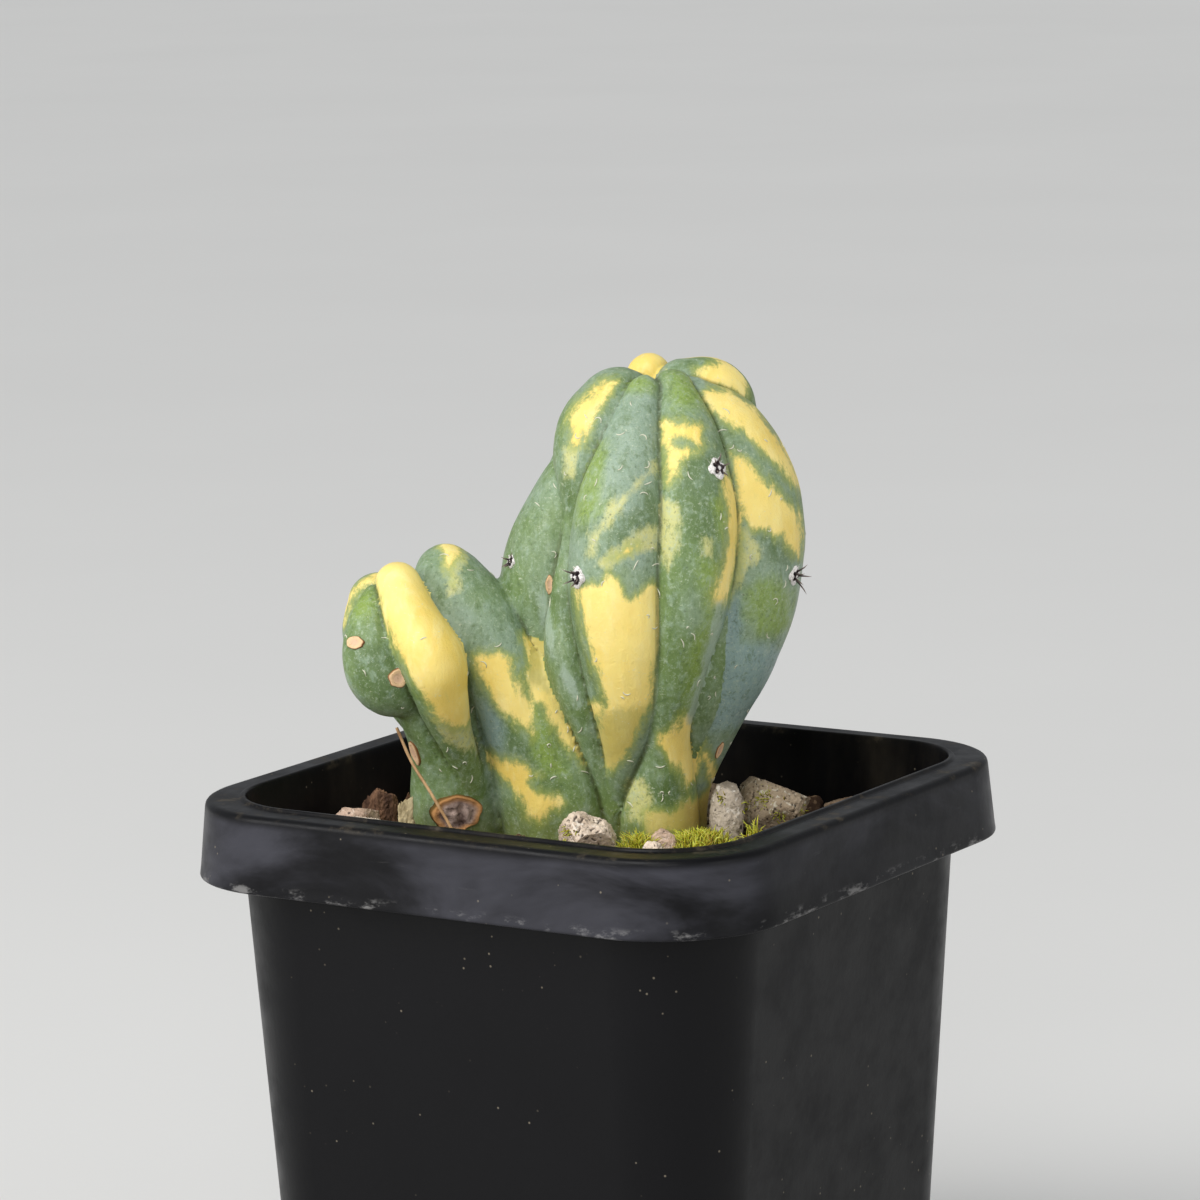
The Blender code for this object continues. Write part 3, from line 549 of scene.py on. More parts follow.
# Moss cushions: centre x and y, half width and half depth, height of the mound, blades
MOSS = (
    (10.6, -6.2, 5.0, 2.7, 2.0, 1250),
    (4.0, -7.6, 2.3, 2.2, 2.3, 420),
    (16.9, -5.2, 1.4, 1.5, 2.0, 160),
    (18.0, 8.5, 1.8, 1.4, 0.6, 70),
    (-12.0, 14.0, 3.2, 2.4, 1.2, 420),
    (9.0, 21.5, 2.8, 2.0, 1.2, 300),
)
MOSS_SEED = 19
# Tufts that grow on the stones themselves: the frame's pixels they are seen at, their spread and blades
STONE_MOSS = (
    (767, 801, 5, 60),
    (778, 812, 4, 25),
    (748, 808, 4, 20),
    (800, 812, 3, 15),
    (722, 797, 3, 12),
    (570, 833, 4, 20),
)


def srgb(red, green, blue):
    """A colour in 0 to 255 as a shader takes it."""
    values = [value / 255 for value in (red, green, blue)]
    return tuple(v / 12.92 if v <= 0.04045 else ((v + 0.055) / 1.055) ** 2.4 for v in values) + (1.0,)


class Shade:
    """A procedural material. Its short calls each add a node and give that node's output."""

    def __init__(self, name, **settings):
        self.material = bpy.data.materials.new(name)
        self.material.use_nodes = True
        self.tree = self.material.node_tree
        self.shader = self.tree.nodes["Principled BSDF"]
        for key, value in settings.items():
            self.shader.inputs[key.replace("_", " ")].default_value = value
        self.place = self.tree.nodes.new("ShaderNodeTexCoord").outputs["Object"]

    def feed(self, socket, value):
        if isinstance(value, bpy.types.NodeSocket):
            self.tree.links.new(value, socket)
        else:
            socket.default_value = value

    def node(self, kind, output, inputs, **settings):
        node = self.tree.nodes.new("ShaderNode" + kind)
        for key, value in settings.items():
            setattr(node, key, value)
        for key, value in inputs.items():
            self.feed(node.inputs[key], value)
        return node.outputs[output]

    def noise(self, scale, detail=3.0, rough=0.55, upright=1.0, distortion=0.0):
        """Noise. Its grains are drawn out along z where upright is under 1 and flattened where it is over."""
        place = self.place
        if upright != 1.0:
            place = self.node("Mapping", "Vector", {"Vector": place, "Scale": (1.0, 1.0, upright)})
        inputs = {"Vector": place, "Scale": scale, "Detail": detail, "Roughness": rough}
        return self.node("TexNoise", "Fac", {**inputs, "Distortion": distortion})

    def cells(self, scale):
        return self.node("TexVoronoi", "Distance", {"Vector": self.place, "Scale": scale})

    def attribute(self, name):
        return self.node("Attribute", "Fac", {}, attribute_name=name)

    def axis(self, name):
        return self.node("SeparateXYZ", name, {"Vector": self.place})

    def times(self, first, second):
        return self.node("Math", 0, {0: first, 1: second}, operation="MULTIPLY")

    def plus(self, first, second):
        return self.node("Math", 0, {0: first, 1: second}, operation="ADD")

    def minus(self, first, second):
        return self.node("Math", 0, {0: first, 1: second}, operation="SUBTRACT")

    def ease(self, value, low, high, start=0.0, end=1.0):
        """From start to end, smoothly, as value goes from low to high."""
        inputs = {"Value": value, "From Min": low, "From Max": high, "To Min": start, "To Max": end}
        return self.node("MapRange", "Result", inputs, interpolation_type="SMOOTHSTEP")

    def mix(self, factor, first, second):
        return self.node("Mix", 2, {"Factor": factor, 6: first, 7: second}, data_type="RGBA")

    def blend(self, value, low, high, first, second):
        """From the first colour to the second as value goes from low to high."""
        return self.mix(self.ease(value, low, high), srgb(*first), srgb(*second))

    def tint(self, colour, value, low, high, start, end, target):
        """The colour with some of the target in it: a share that goes from start to end with value."""
        return self.mix(self.ease(value, low, high, start, end), colour, srgb(*target))

    def stain(self, colour, area, share, target):
        """The colour with the target in it over an area, by that share."""
        return self.mix(self.times(area, share), colour, srgb(*target))

    def bump(self, height, distance, strength, below=None):
        inputs = {"Distance": distance, "Strength": strength, "Height": height}
        if below:
            inputs["Normal"] = below
        return self.node("Bump", "Normal", inputs)

    def finish(self, colour, roughness, normal=None):
        for key, source in (("Base Color", colour), ("Roughness", roughness), ("Normal", normal)):
            if source:
                self.feed(self.shader.inputs[key], source)
        return self.material


def skin_material():
    """Waxy green skin with its patches, whose signed distances in millimetres come as attributes. Its grooves
    and some dark patches carry painted shade, and thin lines on rib edges painted highlights.
    """
    shade = Shade("cactus_wax_skin", Subsurface_Weight=0.1, Subsurface_Scale=0.001, Specular_IOR_Level=0.42,
                  Subsurface_Radius=(1.0, 0.7, 0.25))
    broad = shade.noise(110.0)
    streaks = shade.noise(420.0, 6.0, 0.66, 0.36, 0.5)
    mottle = shade.noise(950.0, 8.0, 0.74, 0.7, 0.4)
    fine = shade.noise(2300.0, 4.0, 0.7)
    edge = shade.times(shade.minus(streaks, 0.5), 3.2)
    edge = shade.plus(edge, shade.times(shade.minus(fine, 0.5), 1.1))

    def patch(colour, name, low, high, most, target):
        return shade.tint(colour, shade.plus(shade.attribute(name), edge), low, high, 0.0, most, target)

    bloom = shade.plus(shade.attribute("bloom"), shade.ease(broad, 0.3, 0.7, -0.3, 0.3))
    green = shade.blend(bloom, 0.05, 0.95, (112, 136, 78), (142, 162, 140))
    green = shade.tint(green, streaks, 0.46, 0.7, 0.0, 0.6, (92, 116, 66))
    green = shade.tint(green, streaks, 0.25, 0.42, 0.4, 0.0, (164, 180, 146))
    # Dark patches: darker green where seeded, and painted shade in grooves where drawn
    green = patch(green, "dark", -0.8, 1.1, 0.7, (84, 108, 58))
    green = patch(green, "bluish", -0.8, 1.0, 0.85, (142, 166, 164))
    green = patch(green, "fresh", -1.0, 1.1, 0.75, (138, 162, 66))
    green = patch(green, "pale", -0.55, 0.5, 0.8, (216, 212, 140))
    green = shade.tint(green, mottle, 0.48, 0.66, 0.0, 0.5, (156, 176, 156))
    green = shade.tint(green, mottle, 0.34, 0.48, 0.5, 0.0, (86, 110, 56))
    green = shade.tint(green, fine, 0.52, 0.7, 0.0, 0.5, (180, 194, 170))
    green = shade.tint(green, fine, 0.3, 0.45, 0.5, 0.0, (70, 92, 56))
    dots = shade.times(shade.ease(shade.cells(1000.0), 0.08, 0.18, 1.0, 0.0), shade.ease(streaks, 0.45, 0.6))
    green = shade.stain(green, dots, 0.5, (70, 84, 46))
    yellow = shade.blend(broad, 0.35, 0.68, (250, 226, 134), (242, 212, 108))
    yellow = shade.tint(yellow, streaks, 0.45, 0.7, 0.0, 0.55, (252, 236, 164))
    yellow = shade.tint(yellow, streaks, 0.24, 0.42, 0.35, 0.0, (222, 206, 120))
    yellow = patch(yellow, "olive", -0.4, 1.1, 0.6, (176, 168, 90))
    colour = patch(green, "yellow", -1.1, 0.1, 0.7, (158, 168, 84))
    inside = shade.ease(shade.plus(shade.attribute("yellow"), edge), -0.25, 0.55)
    colour = shade.mix(inside, colour, yellow)
    colour = patch(colour, "orange", -0.5, 1.2, 0.5, (176, 142, 66))
    # Painted highlight: thin pale lines along rib edges, partly pale wax
    colour = patch(colour, "ridge_highlight", -0.6, 0.4, 0.75, (166, 184, 164))
    # Painted shade: the grooves between the ribs darkened towards olive
    colour = shade.tint(colour, shade.attribute("crease"), 0.5, 0.95, 0.0, 0.75, (66, 78, 32))
    colour = shade.tint(colour, shade.axis("Z"), 0.0635, 0.071, 0.35, 0.0, (140, 130, 66))
    threads = shade.ease(shade.noise(1500.0, 2.0, 0.5, 1.6, 2.2), 0.66, 0.74)
    colour = shade.stain(colour, threads, 0.45, (214, 218, 192))
    normal = shade.bump(fine, 0.00008, 0.7)
    normal = shade.bump(mottle, 0.00016, 0.6, below=normal)
    normal = shade.bump(streaks, 0.00025, 0.4, below=normal)
    return shade.finish(colour, shade.ease(streaks, 0.3, 0.75, 0.34, 0.54), normal)


def plastic_material():
    """Near-black plastic: a scuffed hem, a painted reflection mixed with smudges on the band, dust, a soiled
    rim and a dry film inside.
    """
    shade = Shade("pot_black_plastic", Specular_IOR_Level=0.16)
    broad = shade.noise(38.0, 4.0, 0.6)
    fine = shade.noise(1600.0)
    height = shade.axis("Z")
    outside = shade.attribute("outside")
    colour = shade.mix(broad, srgb(6, 6, 8), srgb(11, 11, 14))
    hem = shade.times(shade.ease(height, 0.0632, 0.0638), shade.ease(height, 0.0640, 0.0650, 1.0, 0.0))
    ragged = shade.ease(shade.noise(230.0, 5.0, 0.7, 2.5), 0.52, 0.66)
    colour = shade.stain(colour, shade.times(shade.times(hem, ragged), outside), 0.35, (176, 174, 172))
    band = shade.times(shade.ease(height, 0.063, 0.064), outside)
    streak = shade.ease(shade.noise(60.0, 6.0, 0.75, 14.0), 0.62, 0.75)
    colour = shade.stain(colour, shade.times(streak, band), 0.1, (150, 148, 146))
    # Painted reflection of the soft light on the band, with some smudging; the flat right face, turned from
    # that light, gets little of it
    haze_and_reflection = shade.ease(shade.noise(34.0, 5.0, 0.6, 2.2, 0.6), 0.36, 0.66)
    haze_and_reflection = shade.times(haze_and_reflection, shade.times(band, shade.ease(height, 0.0705, 0.0716, 1.0, 0.0)))
    haze_and_reflection = shade.times(haze_and_reflection, shade.ease(shade.axis("X"), 0.0345, 0.0358, 0.3, 0.05))
    colour = shade.mix(haze_and_reflection, colour, srgb(104, 104, 114))
    sparse = shade.ease(shade.noise(120.0), 0.5, 0.62)
    dust = shade.times(shade.ease(shade.cells(620.0), 0.05, 0.1, 1.0, 0.0), sparse)
    colour = shade.stain(colour, dust, 0.45, (150, 140, 122))
    rim = shade.ease(height, 0.0712, 0.0718)
    soiled = shade.times(shade.ease(shade.noise(300.0, 5.0, 0.7), 0.55, 0.72), rim)
    colour = shade.stain(colour, soiled, 0.4, (96, 86, 70))
    film = shade.times(shade.minus(1.0, outside), shade.ease(shade.noise(90.0, 5.0, 0.65, 0.3), 0.4, 0.8))
    colour = shade.stain(colour, film, 0.3, (88, 80, 66))
    rough = shade.ease(shade.noise(150.0, 5.0, 0.65), 0.3, 0.75, 0.32, 0.5)
    normal = shade.bump(fine, 0.00003, 0.35)
    return shade.finish(colour, rough, shade.bump(broad, 0.0006, 0.25, below=normal))


def stone_material(name, light, dark, grain, pores):
    shade = Shade("stone_" + name, Specular_IOR_Level=0.25)
    broad = shade.noise(260.0, 5.0, 0.6)
    fine = shade.noise(1900.0, 5.0, 0.7)
    colour = shade.blend(broad, 0.3, 0.72, light, dark)
    colour = shade.tint(colour, fine, 0.55, 0.75, 0.0, 0.6, dark)
    grains = shade.ease(shade.noise(1250.0, 3.0, 0.5, distortion=0.8), 0.58, 0.68)
    colour = shade.stain(colour, grains, 0.7, grain)
    shadow = [value * PORE_DARKNESS for value in dark]
    colour = shade.tint(colour, shade.attribute("pore"), 0.1, 0.8, 0.0, 0.85, shadow)
    low = shade.ease(shade.axis("Z"), 0.0625, 0.0665, 0.55, 0.0)
    colour = shade.stain(colour, low, shade.ease(broad, 0.3, 0.7, 0.5, 1.0), (66, 52, 38))
    pits = shade.ease(shade.noise(1700.0, 4.0, 0.6, 1.7), 0.3, 0.46)
    normal = shade.bump(fine, 0.00014, 0.8)
    normal = shade.bump(pits, 0.0002, 0.4 + 0.5 * pores, below=normal)
    return shade.finish(colour, shade.ease(fine, 0.2, 0.8, 0.8, 0.98), normal)


def bark_material(name, light, dark):
    shade = Shade(name, Specular_IOR_Level=0.3)
    grain = shade.noise(900.0, 5.0, 0.65, 0.2)
    broad = shade.noise(240.0)
    colour = shade.blend(grain, 0.3, 0.7, dark, light)
    colour = shade.tint(colour, broad, 0.5, 0.75, 0.0, 0.6, dark)
    return shade.finish(colour, shade.ease(broad, 0.2, 0.8, 0.7, 0.95), shade.bump(grain, 0.0002, 0.8))


def soil_material():
    shade = Shade("soil_dark_crumb", Specular_IOR_Level=0.2)
    fine = shade.noise(1500.0, 5.0, 0.7)
    colour = shade.blend(fine, 0.3, 0.75, (44, 33, 25), (86, 66, 48))
    colour = shade.tint(colour, shade.cells(1600.0), 0.1, 0.25, 0.7, 0.0, (132, 110, 84))
    normal = shade.bump(shade.cells(700.0), 0.0006, 0.8)
    normal = shade.bump(fine, 0.0003, 0.8, below=normal)
    return shade.finish(colour, shade.ease(fine, 0.2, 0.8, 0.85, 1.0), normal)


def grain_material():
    shade = Shade("soil_grains", Specular_IOR_Level=0.25)
    tone = shade.attribute("tone")
    fine = shade.noise(2400.0, 4.0, 0.7)
    colour = shade.blend(tone, 0.0, 0.45, (50, 37, 28), (122, 92, 66))
    colour = shade.tint(colour, tone, 0.5, 0.8, 0.0, 1.0, (182, 160, 132))
    colour = shade.tint(colour, tone, 0.85, 1.0, 0.0, 1.0, (222, 212, 194))
    colour = shade.tint(colour, fine, 0.5, 0.75, 0.0, 0.5, (70, 54, 40))
    return shade.finish(colour, shade.ease(fine, 0.2, 0.8, 0.8, 0.98), shade.bump(fine, 0.0001, 0.7))


def moss_material():
    shade = Shade("moss_blades", Subsurface_Weight=0.15, Subsurface_Scale=0.0005, Specular_IOR_Level=0.3)
    tone = shade.attribute("tone")
    colour = shade.mix(shade.attribute("tip"), srgb(98, 98, 26), srgb(196, 196, 56))
    colour = shade.tint(colour, tone, 0.6, 1.0, 0.0, 0.8, (220, 212, 108))
    colour = shade.tint(colour, tone, 0.0, 0.15, 0.6, 0.0, (124, 88, 44))
    return shade.finish(colour, shade.ease(tone, 0.0, 1.0, 0.45, 0.65))


def moss_mound_material():
    shade = Shade("moss_mound", Specular_IOR_Level=0.15)
    fine = shade.noise(2600.0, 4.0, 0.7)
    colour = shade.blend(fine, 0.35, 0.65, (48, 44, 18), (112, 112, 34))
    return shade.finish(colour, shade.ease(fine, 0.2, 0.8, 0.85, 1.0), shade.bump(fine, 0.0003, 0.9))


def felt_material():
    shade = Shade("areole_felt", Specular_IOR_Level=0.1, Sheen_Weight=0.3)
    fine = shade.noise(5200.0)
    colour = shade.blend(fine, 0.35, 0.65, (206, 200, 196), (244, 240, 236))
    colour = shade.tint(colour, shade.attribute("spot"), 0.2, 0.7, 0.0, 1.0, (46, 32, 36))
    return shade.finish(colour, shade.ease(fine, 0.2, 0.8, 0.85, 1.0), shade.bump(fine, 0.00004, 0.6))


def spine_material():
    shade = Shade("spine_horn", Specular_IOR_Level=0.45)
    fine = shade.noise(3800.0)
    colour = shade.blend(shade.attribute("tip"), 0.1, 0.9, (34, 22, 24), (128, 112, 104))
    colour = shade.tint(colour, fine, 0.5, 0.8, 0.0, 0.5, (84, 66, 58))
    return shade.finish(colour, shade.ease(fine, 0.2, 0.8, 0.4, 0.6))


def scar_material():
    shade = Shade("corky_scar", Specular_IOR_Level=0.2)
    rim = shade.attribute("rim")
    fine = shade.noise(2600.0, 5.0, 0.7)
    colour = shade.blend(rim, 0.3, 0.75, (222, 184, 152), (234, 196, 152))
    colour = shade.tint(colour, rim, 0.86, 0.99, 0.0, 1.0, (132, 86, 48))
    colour = shade.tint(colour, fine, 0.52, 0.72, 0.0, 0.6, (150, 110, 82))
    return shade.finish(colour, shade.ease(fine, 0.2, 0.8, 0.8, 0.95), shade.bump(fine, 0.0001, 0.6))


def cork_material():
    shade = Shade("cork_patch", Specular_IOR_Level=0.2)
    rim = shade.attribute("rim")
    fine = shade.noise(1500.0, 5.0, 0.7)
    colour = shade.blend(shade.noise(520.0, 4.0, 0.6), 0.35, 0.65, (112, 92, 84), (176, 154, 142))
    colour = shade.tint(colour, fine, 0.5, 0.7, 0.0, 0.8, (58, 44, 38))
    colour = shade.tint(colour, rim, 0.6, 0.9, 0.0, 1.0, (184, 134, 84))
    colour = shade.tint(colour, rim, 0.95, 1.0, 0.0, 1.0, (112, 84, 40))
    return shade.finish(colour, shade.ease(fine, 0.2, 0.8, 0.75, 0.95), shade.bump(fine, 0.0003, 0.9))


def scratch_material():
    shade = Shade("dry_scratch", Specular_IOR_Level=0.3)
    fine = shade.noise(3000.0)
    colour = shade.mix(fine, srgb(196, 196, 172), srgb(226, 224, 204))
    return shade.finish(colour, shade.ease(fine, 0.2, 0.8, 0.6, 0.85))


def straw_material():
    shade = Shade("dry_straw", Specular_IOR_Level=0.35)
    grain = shade.noise(1300.0, 4.0, upright=0.3)
    colour = shade.blend(grain, 0.3, 0.7, (150, 112, 74), (206, 168, 122))
    return shade.finish(colour, shade.ease(grain, 0.2, 0.8, 0.55, 0.75), shade.bump(grain, 0.00006, 0.7))


def floor_material():
    shade = Shade("pale_floor", Specular_IOR_Level=0.3)
    fine = shade.noise(900.0)
    colour = shade.mix(shade.noise(6.0, 4.0), srgb(216, 215, 212), srgb(222, 221, 218))
    return shade.finish(colour, shade.ease(fine, 0.2, 0.8, 0.62, 0.72), shade.bump(fine, 0.00004, 0.3))


def to_pot(x, y, height):
    """A plant-frame place in the pot's frame."""
    cosine, sine = math.cos(PLANT_TURN), math.sin(PLANT_TURN)
    return Vector((x * cosine - y * sine, x * sine + y * cosine, SOIL_LEVEL + height))


def on_plant(x, y, height):
    """The same for a place on the plant, which leans."""
    return to_pot(x + PLANT_SHIFT + PLANT_LEAN * height, y, height)


def add_object(name, points, faces, material, nodes=(), smooth=True, values=None):
    """A piece from millimetre points, in place of the CAD nodes. values holds its per-vertex numbers."""
    mesh = bpy.data.meshes.new(name)
    mesh.from_pydata((np.asarray(points, float) * MM).tolist(), [], [list(map(int, face)) for face in faces])
    mesh.polygons.foreach_set("use_smooth", [smooth] * len(mesh.polygons))
    for key, numbers in (values or {}).items():
        attribute = mesh.attributes.new(key, "FLOAT", "POINT")
        attribute.data.foreach_set("value", np.asarray(numbers, np.float32))
    mesh.materials.append(material)
    mesh.update()
    obj = bpy.data.objects.new(name, mesh)
    bpy.context.scene.collection.objects.link(obj)
    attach(obj, BODY)
    if nodes:
        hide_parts(*nodes)
    return obj


class Pile:
    """Many small shapes gathered into one mesh, with per-vertex numbers."""

    def __init__(self):
        self.points = []
        self.faces = []
        self.values = {}
        self.count = 0

    def add(self, points, faces, **values):
        self.points.append(np.asarray(points, float))
        self.faces.extend([[int(index) + self.count for index in face] for face in faces])
        for key, number in values.items():
            spread = np.broadcast_to(np.asarray(number, float), (len(points),))
            self.values.setdefault(key, []).append(spread)
        self.count += len(points)

    def piece(self, name, material, nodes=(), smooth=True):
        values = {key: np.concatenate(parts) for key, parts in self.values.items()}
        points = np.concatenate(self.points)
        return add_object(name, points, self.faces, material, nodes, smooth, values)


def outward(azimuth, elevation):
    """The direction at this azimuth and elevation, both in radians."""
    flat = math.cos(elevation)
    return Vector((math.sin(azimuth) * flat, -math.cos(azimuth) * flat, math.sin(elevation)))


def camera_frame():
    """The camera's place in millimetres and its right, up and back directions."""
    azimuth, elevation = math.radians(CAMERA_AZIMUTH), math.radians(CAMERA_ELEVATION)
    place = outward(azimuth, elevation) * CAMERA_DISTANCE + Vector((0, 0, POT_HEIGHT))
    turn = azimuth + math.radians(CAMERA_YAW)
    back = outward(turn, elevation + math.radians(CAMERA_PITCH))
    right = Vector((math.cos(turn), math.sin(turn), 0))
    up = back.cross(right)
    cosine, sine = math.cos(math.radians(CAMERA_ROLL)), math.sin(math.radians(CAMERA_ROLL))
    return place, right * cosine + up * sine, up * cosine - right * sine, back


def make_camera():
    place, right, up, back = camera_frame()
    data = bpy.data.cameras.new("camera")
    data.sensor_width = SENSOR_WIDTH
    data.lens = FOCAL_PIXELS / FRAME_PIXELS * SENSOR_WIDTH
    data.clip_start = 0.01
    camera = bpy.data.objects.new("camera", data)
    turn = Matrix((right, up, back)).transposed().to_4x4()
    camera.matrix_world = Matrix.Translation(place * MM) @ turn
    bpy.context.scene.collection.objects.link(camera)
    bpy.context.scene.camera = camera


def frame_pixels(points):
    """Where millimetre points of the pot's frame fall in the photograph's frame."""
    place, right, up, back = (np.array(v) for v in camera_frame())
    offset = points - place
    depth = -(offset @ back)
    return np.stack([
        FRAME_PIXELS / 2 + FOCAL_PIXELS * (offset @ right) / depth,
        FRAME_PIXELS / 2 - FOCAL_PIXELS * (offset @ up) / depth,
    ], axis=1)


def frame_ray(x, y):
    """The sight line through a pixel of the frame, in millimetres."""
    place, right, up, back = camera_frame()
    along = right * (x - FRAME_PIXELS / 2) - up * (y - FRAME_PIXELS / 2) - back * FOCAL_PIXELS
    return place, along.normalized()


def add_light(name, kind, turn, **settings):
    """A light of this kind with this turn and these settings."""
    data = bpy.data.lights.new(name, kind)
    for key, value in settings.items():
        setattr(data, key, value)
    light = bpy.data.objects.new(name, data)
    light.rotation_euler = turn
    bpy.context.scene.collection.objects.link(light)
    return light


def make_floor():
    reach = FLOOR_REACH
    corners = [(-reach, -reach, 0), (reach, -reach, 0), (reach, reach, 0), (-reach, reach, 0)]
    mesh = bpy.data.meshes.new("floor")
    mesh.from_pydata(corners, [], [(0, 1, 2, 3)])
    mesh.materials.append(floor_material())
    floor = bpy.data.objects.new("floor", mesh)
    bpy.context.scene.collection.objects.link(floor)


def make_stage():
    """The floor, a pale sky, a broad sun and three soft lights, set out from the camera's direction."""
    make_floor()
    world = bpy.data.worlds.new("studio")
    bpy.context.scene.world = world
    world.use_nodes = True
    sky = world.node_tree.nodes["Background"].inputs
    sky["Color"].default_value = SKY_COLOUR
    sky["Strength"].default_value = SKY_STRENGTH
    _, right, _, back = camera_frame()
    ahead = Vector((back.x, back.y, 0)).normalized()
    side = Vector((right.x, right.y, 0)).normalized()

    def toward(near, across, high):
        return ahead * near + side * across + Vector((0, 0, high))

    turn = toward(*SUN_PLACE).to_track_quat("Z", "Y").to_euler()
    add_light("window", "SUN", turn, energy=SUN_STRENGTH, angle=math.radians(SUN_SPREAD))
    for name, place, size, power, colour in SOFT_LIGHTS:
        spot = toward(*place)
        turn = (Vector(LIGHT_TARGET) - spot).to_track_quat("-Z", "Y").to_euler()
        light = add_light(name, "AREA", turn, shape="RECTANGLE", size=size[0], size_y=size[1], energy=power,
                          color=colour)
        light.location = spot
    bpy.context.scene.view_settings.view_transform = "Standard"


def square_ring(half, radius, z):
    """The points of a level square with round corners."""
    ring = []
    for corner in range(4):
        middle = math.radians(90 * corner + 45)
        reach = (half - radius) * math.sqrt(2)
        centre = Vector((reach * math.cos(middle), reach * math.sin(middle), z))
        for step in range(CORNER_STEPS + 1):
            angle = math.radians(90 * corner + 90 * step / CORNER_STEPS)
            ring.append(centre + Vector((radius * math.cos(angle), radius * math.sin(angle), 0)))
    return ring


def body_half(z):
    return BODY_HALF - BODY_TAPER * (POT_HEIGHT - z)


def body_radius(z):
    return BODY_RADIUS - BODY_TAPER * (POT_HEIGHT - z)


def inner_half(z):
    return FLOOR_HALF + (MOUTH_HALF - FLOOR_HALF) * (z - FLOOR_BEND) / (POT_HEIGHT - FLOOR_BEND)


def inner_radius(z):
    return FLOOR_RADIUS + (MOUTH_RADIUS - FLOOR_RADIUS) * (z - FLOOR_BEND) / (POT_HEIGHT - FLOOR_BEND)


def pot_sections():
    """The pot's profile, up the outside and down the inside: half side, corner radius, z, fillet."""
    top = POT_HEIGHT
    under_rim = top - RIM_THICKNESS
    hem = top - BAND_HEIGHT
    flare = RIM_HALF + BAND_FLARE
    hem_radius = RIM_RADIUS + BAND_FLARE
    ledge_end = RIM_HALF - LEDGE_WIDTH
    lip_radius = MOUTH_RADIUS + ledge_end - MOUTH_HALF
    bend_half, bend_radius = inner_half(FLOOR_BEND), inner_radius(FLOOR_BEND)
    return [
        (FOOT_HALF, FOOT_RADIUS, FOOT_HEIGHT, 0.0),
        (FOOT_HALF + 0.2, FOOT_RADIUS + 0.2, 0.0, 0.3),
        (body_half(0), body_radius(0), 0.0, 0.7),
        (body_half(under_rim), body_radius(under_rim), under_rim, 0.35),
        (RIM_HALF - BAND_THICKNESS, RIM_RADIUS - BAND_THICKNESS, under_rim, 0.35),
        (flare - BAND_THICKNESS, hem_radius - BAND_THICKNESS, hem, 0.2),
        (flare, hem_radius, hem, 0.3),
        (flare - 0.16, hem_radius - 0.16, hem + 1.1, 0.3),
        (RIM_HALF, RIM_RADIUS, top, 0.75),
        (ledge_end + 0.12, lip_radius + 0.12, top - 0.02, 0.12),
        (ledge_end - 0.12, lip_radius - 0.12, top + LIP_HEIGHT, 0.12),
        (MOUTH_HALF + 0.1, MOUTH_RADIUS + 0.1, top + LIP_HEIGHT, 0.25),
        (MOUTH_HALF, MOUTH_RADIUS, top - 0.5, 0.25),
        (bend_half, bend_radius, FLOOR_BEND, 0.8),
        (bend_half - FLOOR_INSET, bend_radius - FLOOR_INSET, FLOOR_TOP, 0.0),
    ]


def filleted(sections):
    """The profile with each corner rounded by its own fillet."""
    rounded = [np.array(sections[0][:3])]
    for before, at, after in zip(sections, sections[1:], sections[2:]):
        place = np.array(at[:3])
        arms = [np.array(other[:3]) - place for other in (before, after)]
        lengths = [np.linalg.norm(arm[[0, 2]]) for arm in arms]
        cut = min(at[3], 0.45 * min(lengths))
        start, end = (place + arm / length * cut for arm, length in zip(arms, lengths))
        for t in np.linspace(0, 1, 5):
            rounded.append((1 - t) ** 2 * start + 2 * t * (1 - t) * place + t**2 * end)
    rounded.append(np.array(sections[-1][:3]))
    return rounded


def ring_faces(rings, count, start=0):
    """The faces between rings of count points each, whose numbers begin at start."""
    faces = []
    for row in range(rings - 1):
        first = start + row * count
        for index in range(count):
            after = (index + 1) % count
            faces.append((first + index, first + after, first + count + after, first + count + index))
    return faces


def make_pot():
    profile = filleted(pot_sections())
    rings = [square_ring(*section) for section in profile]
    points = [point for ring in rings for point in ring]
    count = len(rings[0])
    faces = ring_faces(len(rings), count)
    faces.append(tuple(reversed(range(count))))
    faces.append(tuple(range((len(rings) - 1) * count, len(rings) * count)))
    turn = next(index for index, section in enumerate(profile) if section[2] > POT_HEIGHT)
    outside = np.repeat([1.0 if index < turn else 0.0 for index in range(len(rings))], count)
    pot = add_object("pot_look", points, faces, plastic_material(), ["pot"],
                     values={"outside": outside})
    cut_drains(pot)
    weighted = pot.modifiers.new("weighted", "WEIGHTED_NORMAL")
    weighted.keep_sharp = True


def cut_drains(pot):
    """The five round holes in the pot's floor."""
    sides = (-CORNER_DRAIN_AT, CORNER_DRAIN_AT)
    places = [(0.0, 0.0, DRAIN_RADIUS)] + [(x, y, CORNER_DRAIN_RADIUS) for x in sides for y in sides]
    bm = bmesh.new()
    for x, y, radius in places:
        turn = Matrix.Translation((x * MM, y * MM, FLOOR_TOP * MM))
        bmesh.ops.create_cone(bm, cap_ends=True, segments=48, radius1=radius * MM, radius2=radius * MM,
                              depth=6.0 * MM, matrix=turn)
    mesh = bpy.data.meshes.new("drains")
    bm.to_mesh(mesh)
    bm.free()
    cutter = bpy.data.objects.new("drains", mesh)
    bpy.context.scene.collection.objects.link(cutter)
    modifier = pot.modifiers.new("drains", "BOOLEAN")
    modifier.operation = "DIFFERENCE"
    modifier.solver = "EXACT"
    modifier.object = cutter
    apply_modifiers(pot)
    bpy.data.objects.remove(cutter)


def apply_modifiers(obj):
    graph = bpy.context.evaluated_depsgraph_get()
    mesh = bpy.data.meshes.new_from_object(obj.evaluated_get(graph))
    obj.modifiers.clear()
    obj.data = mesh


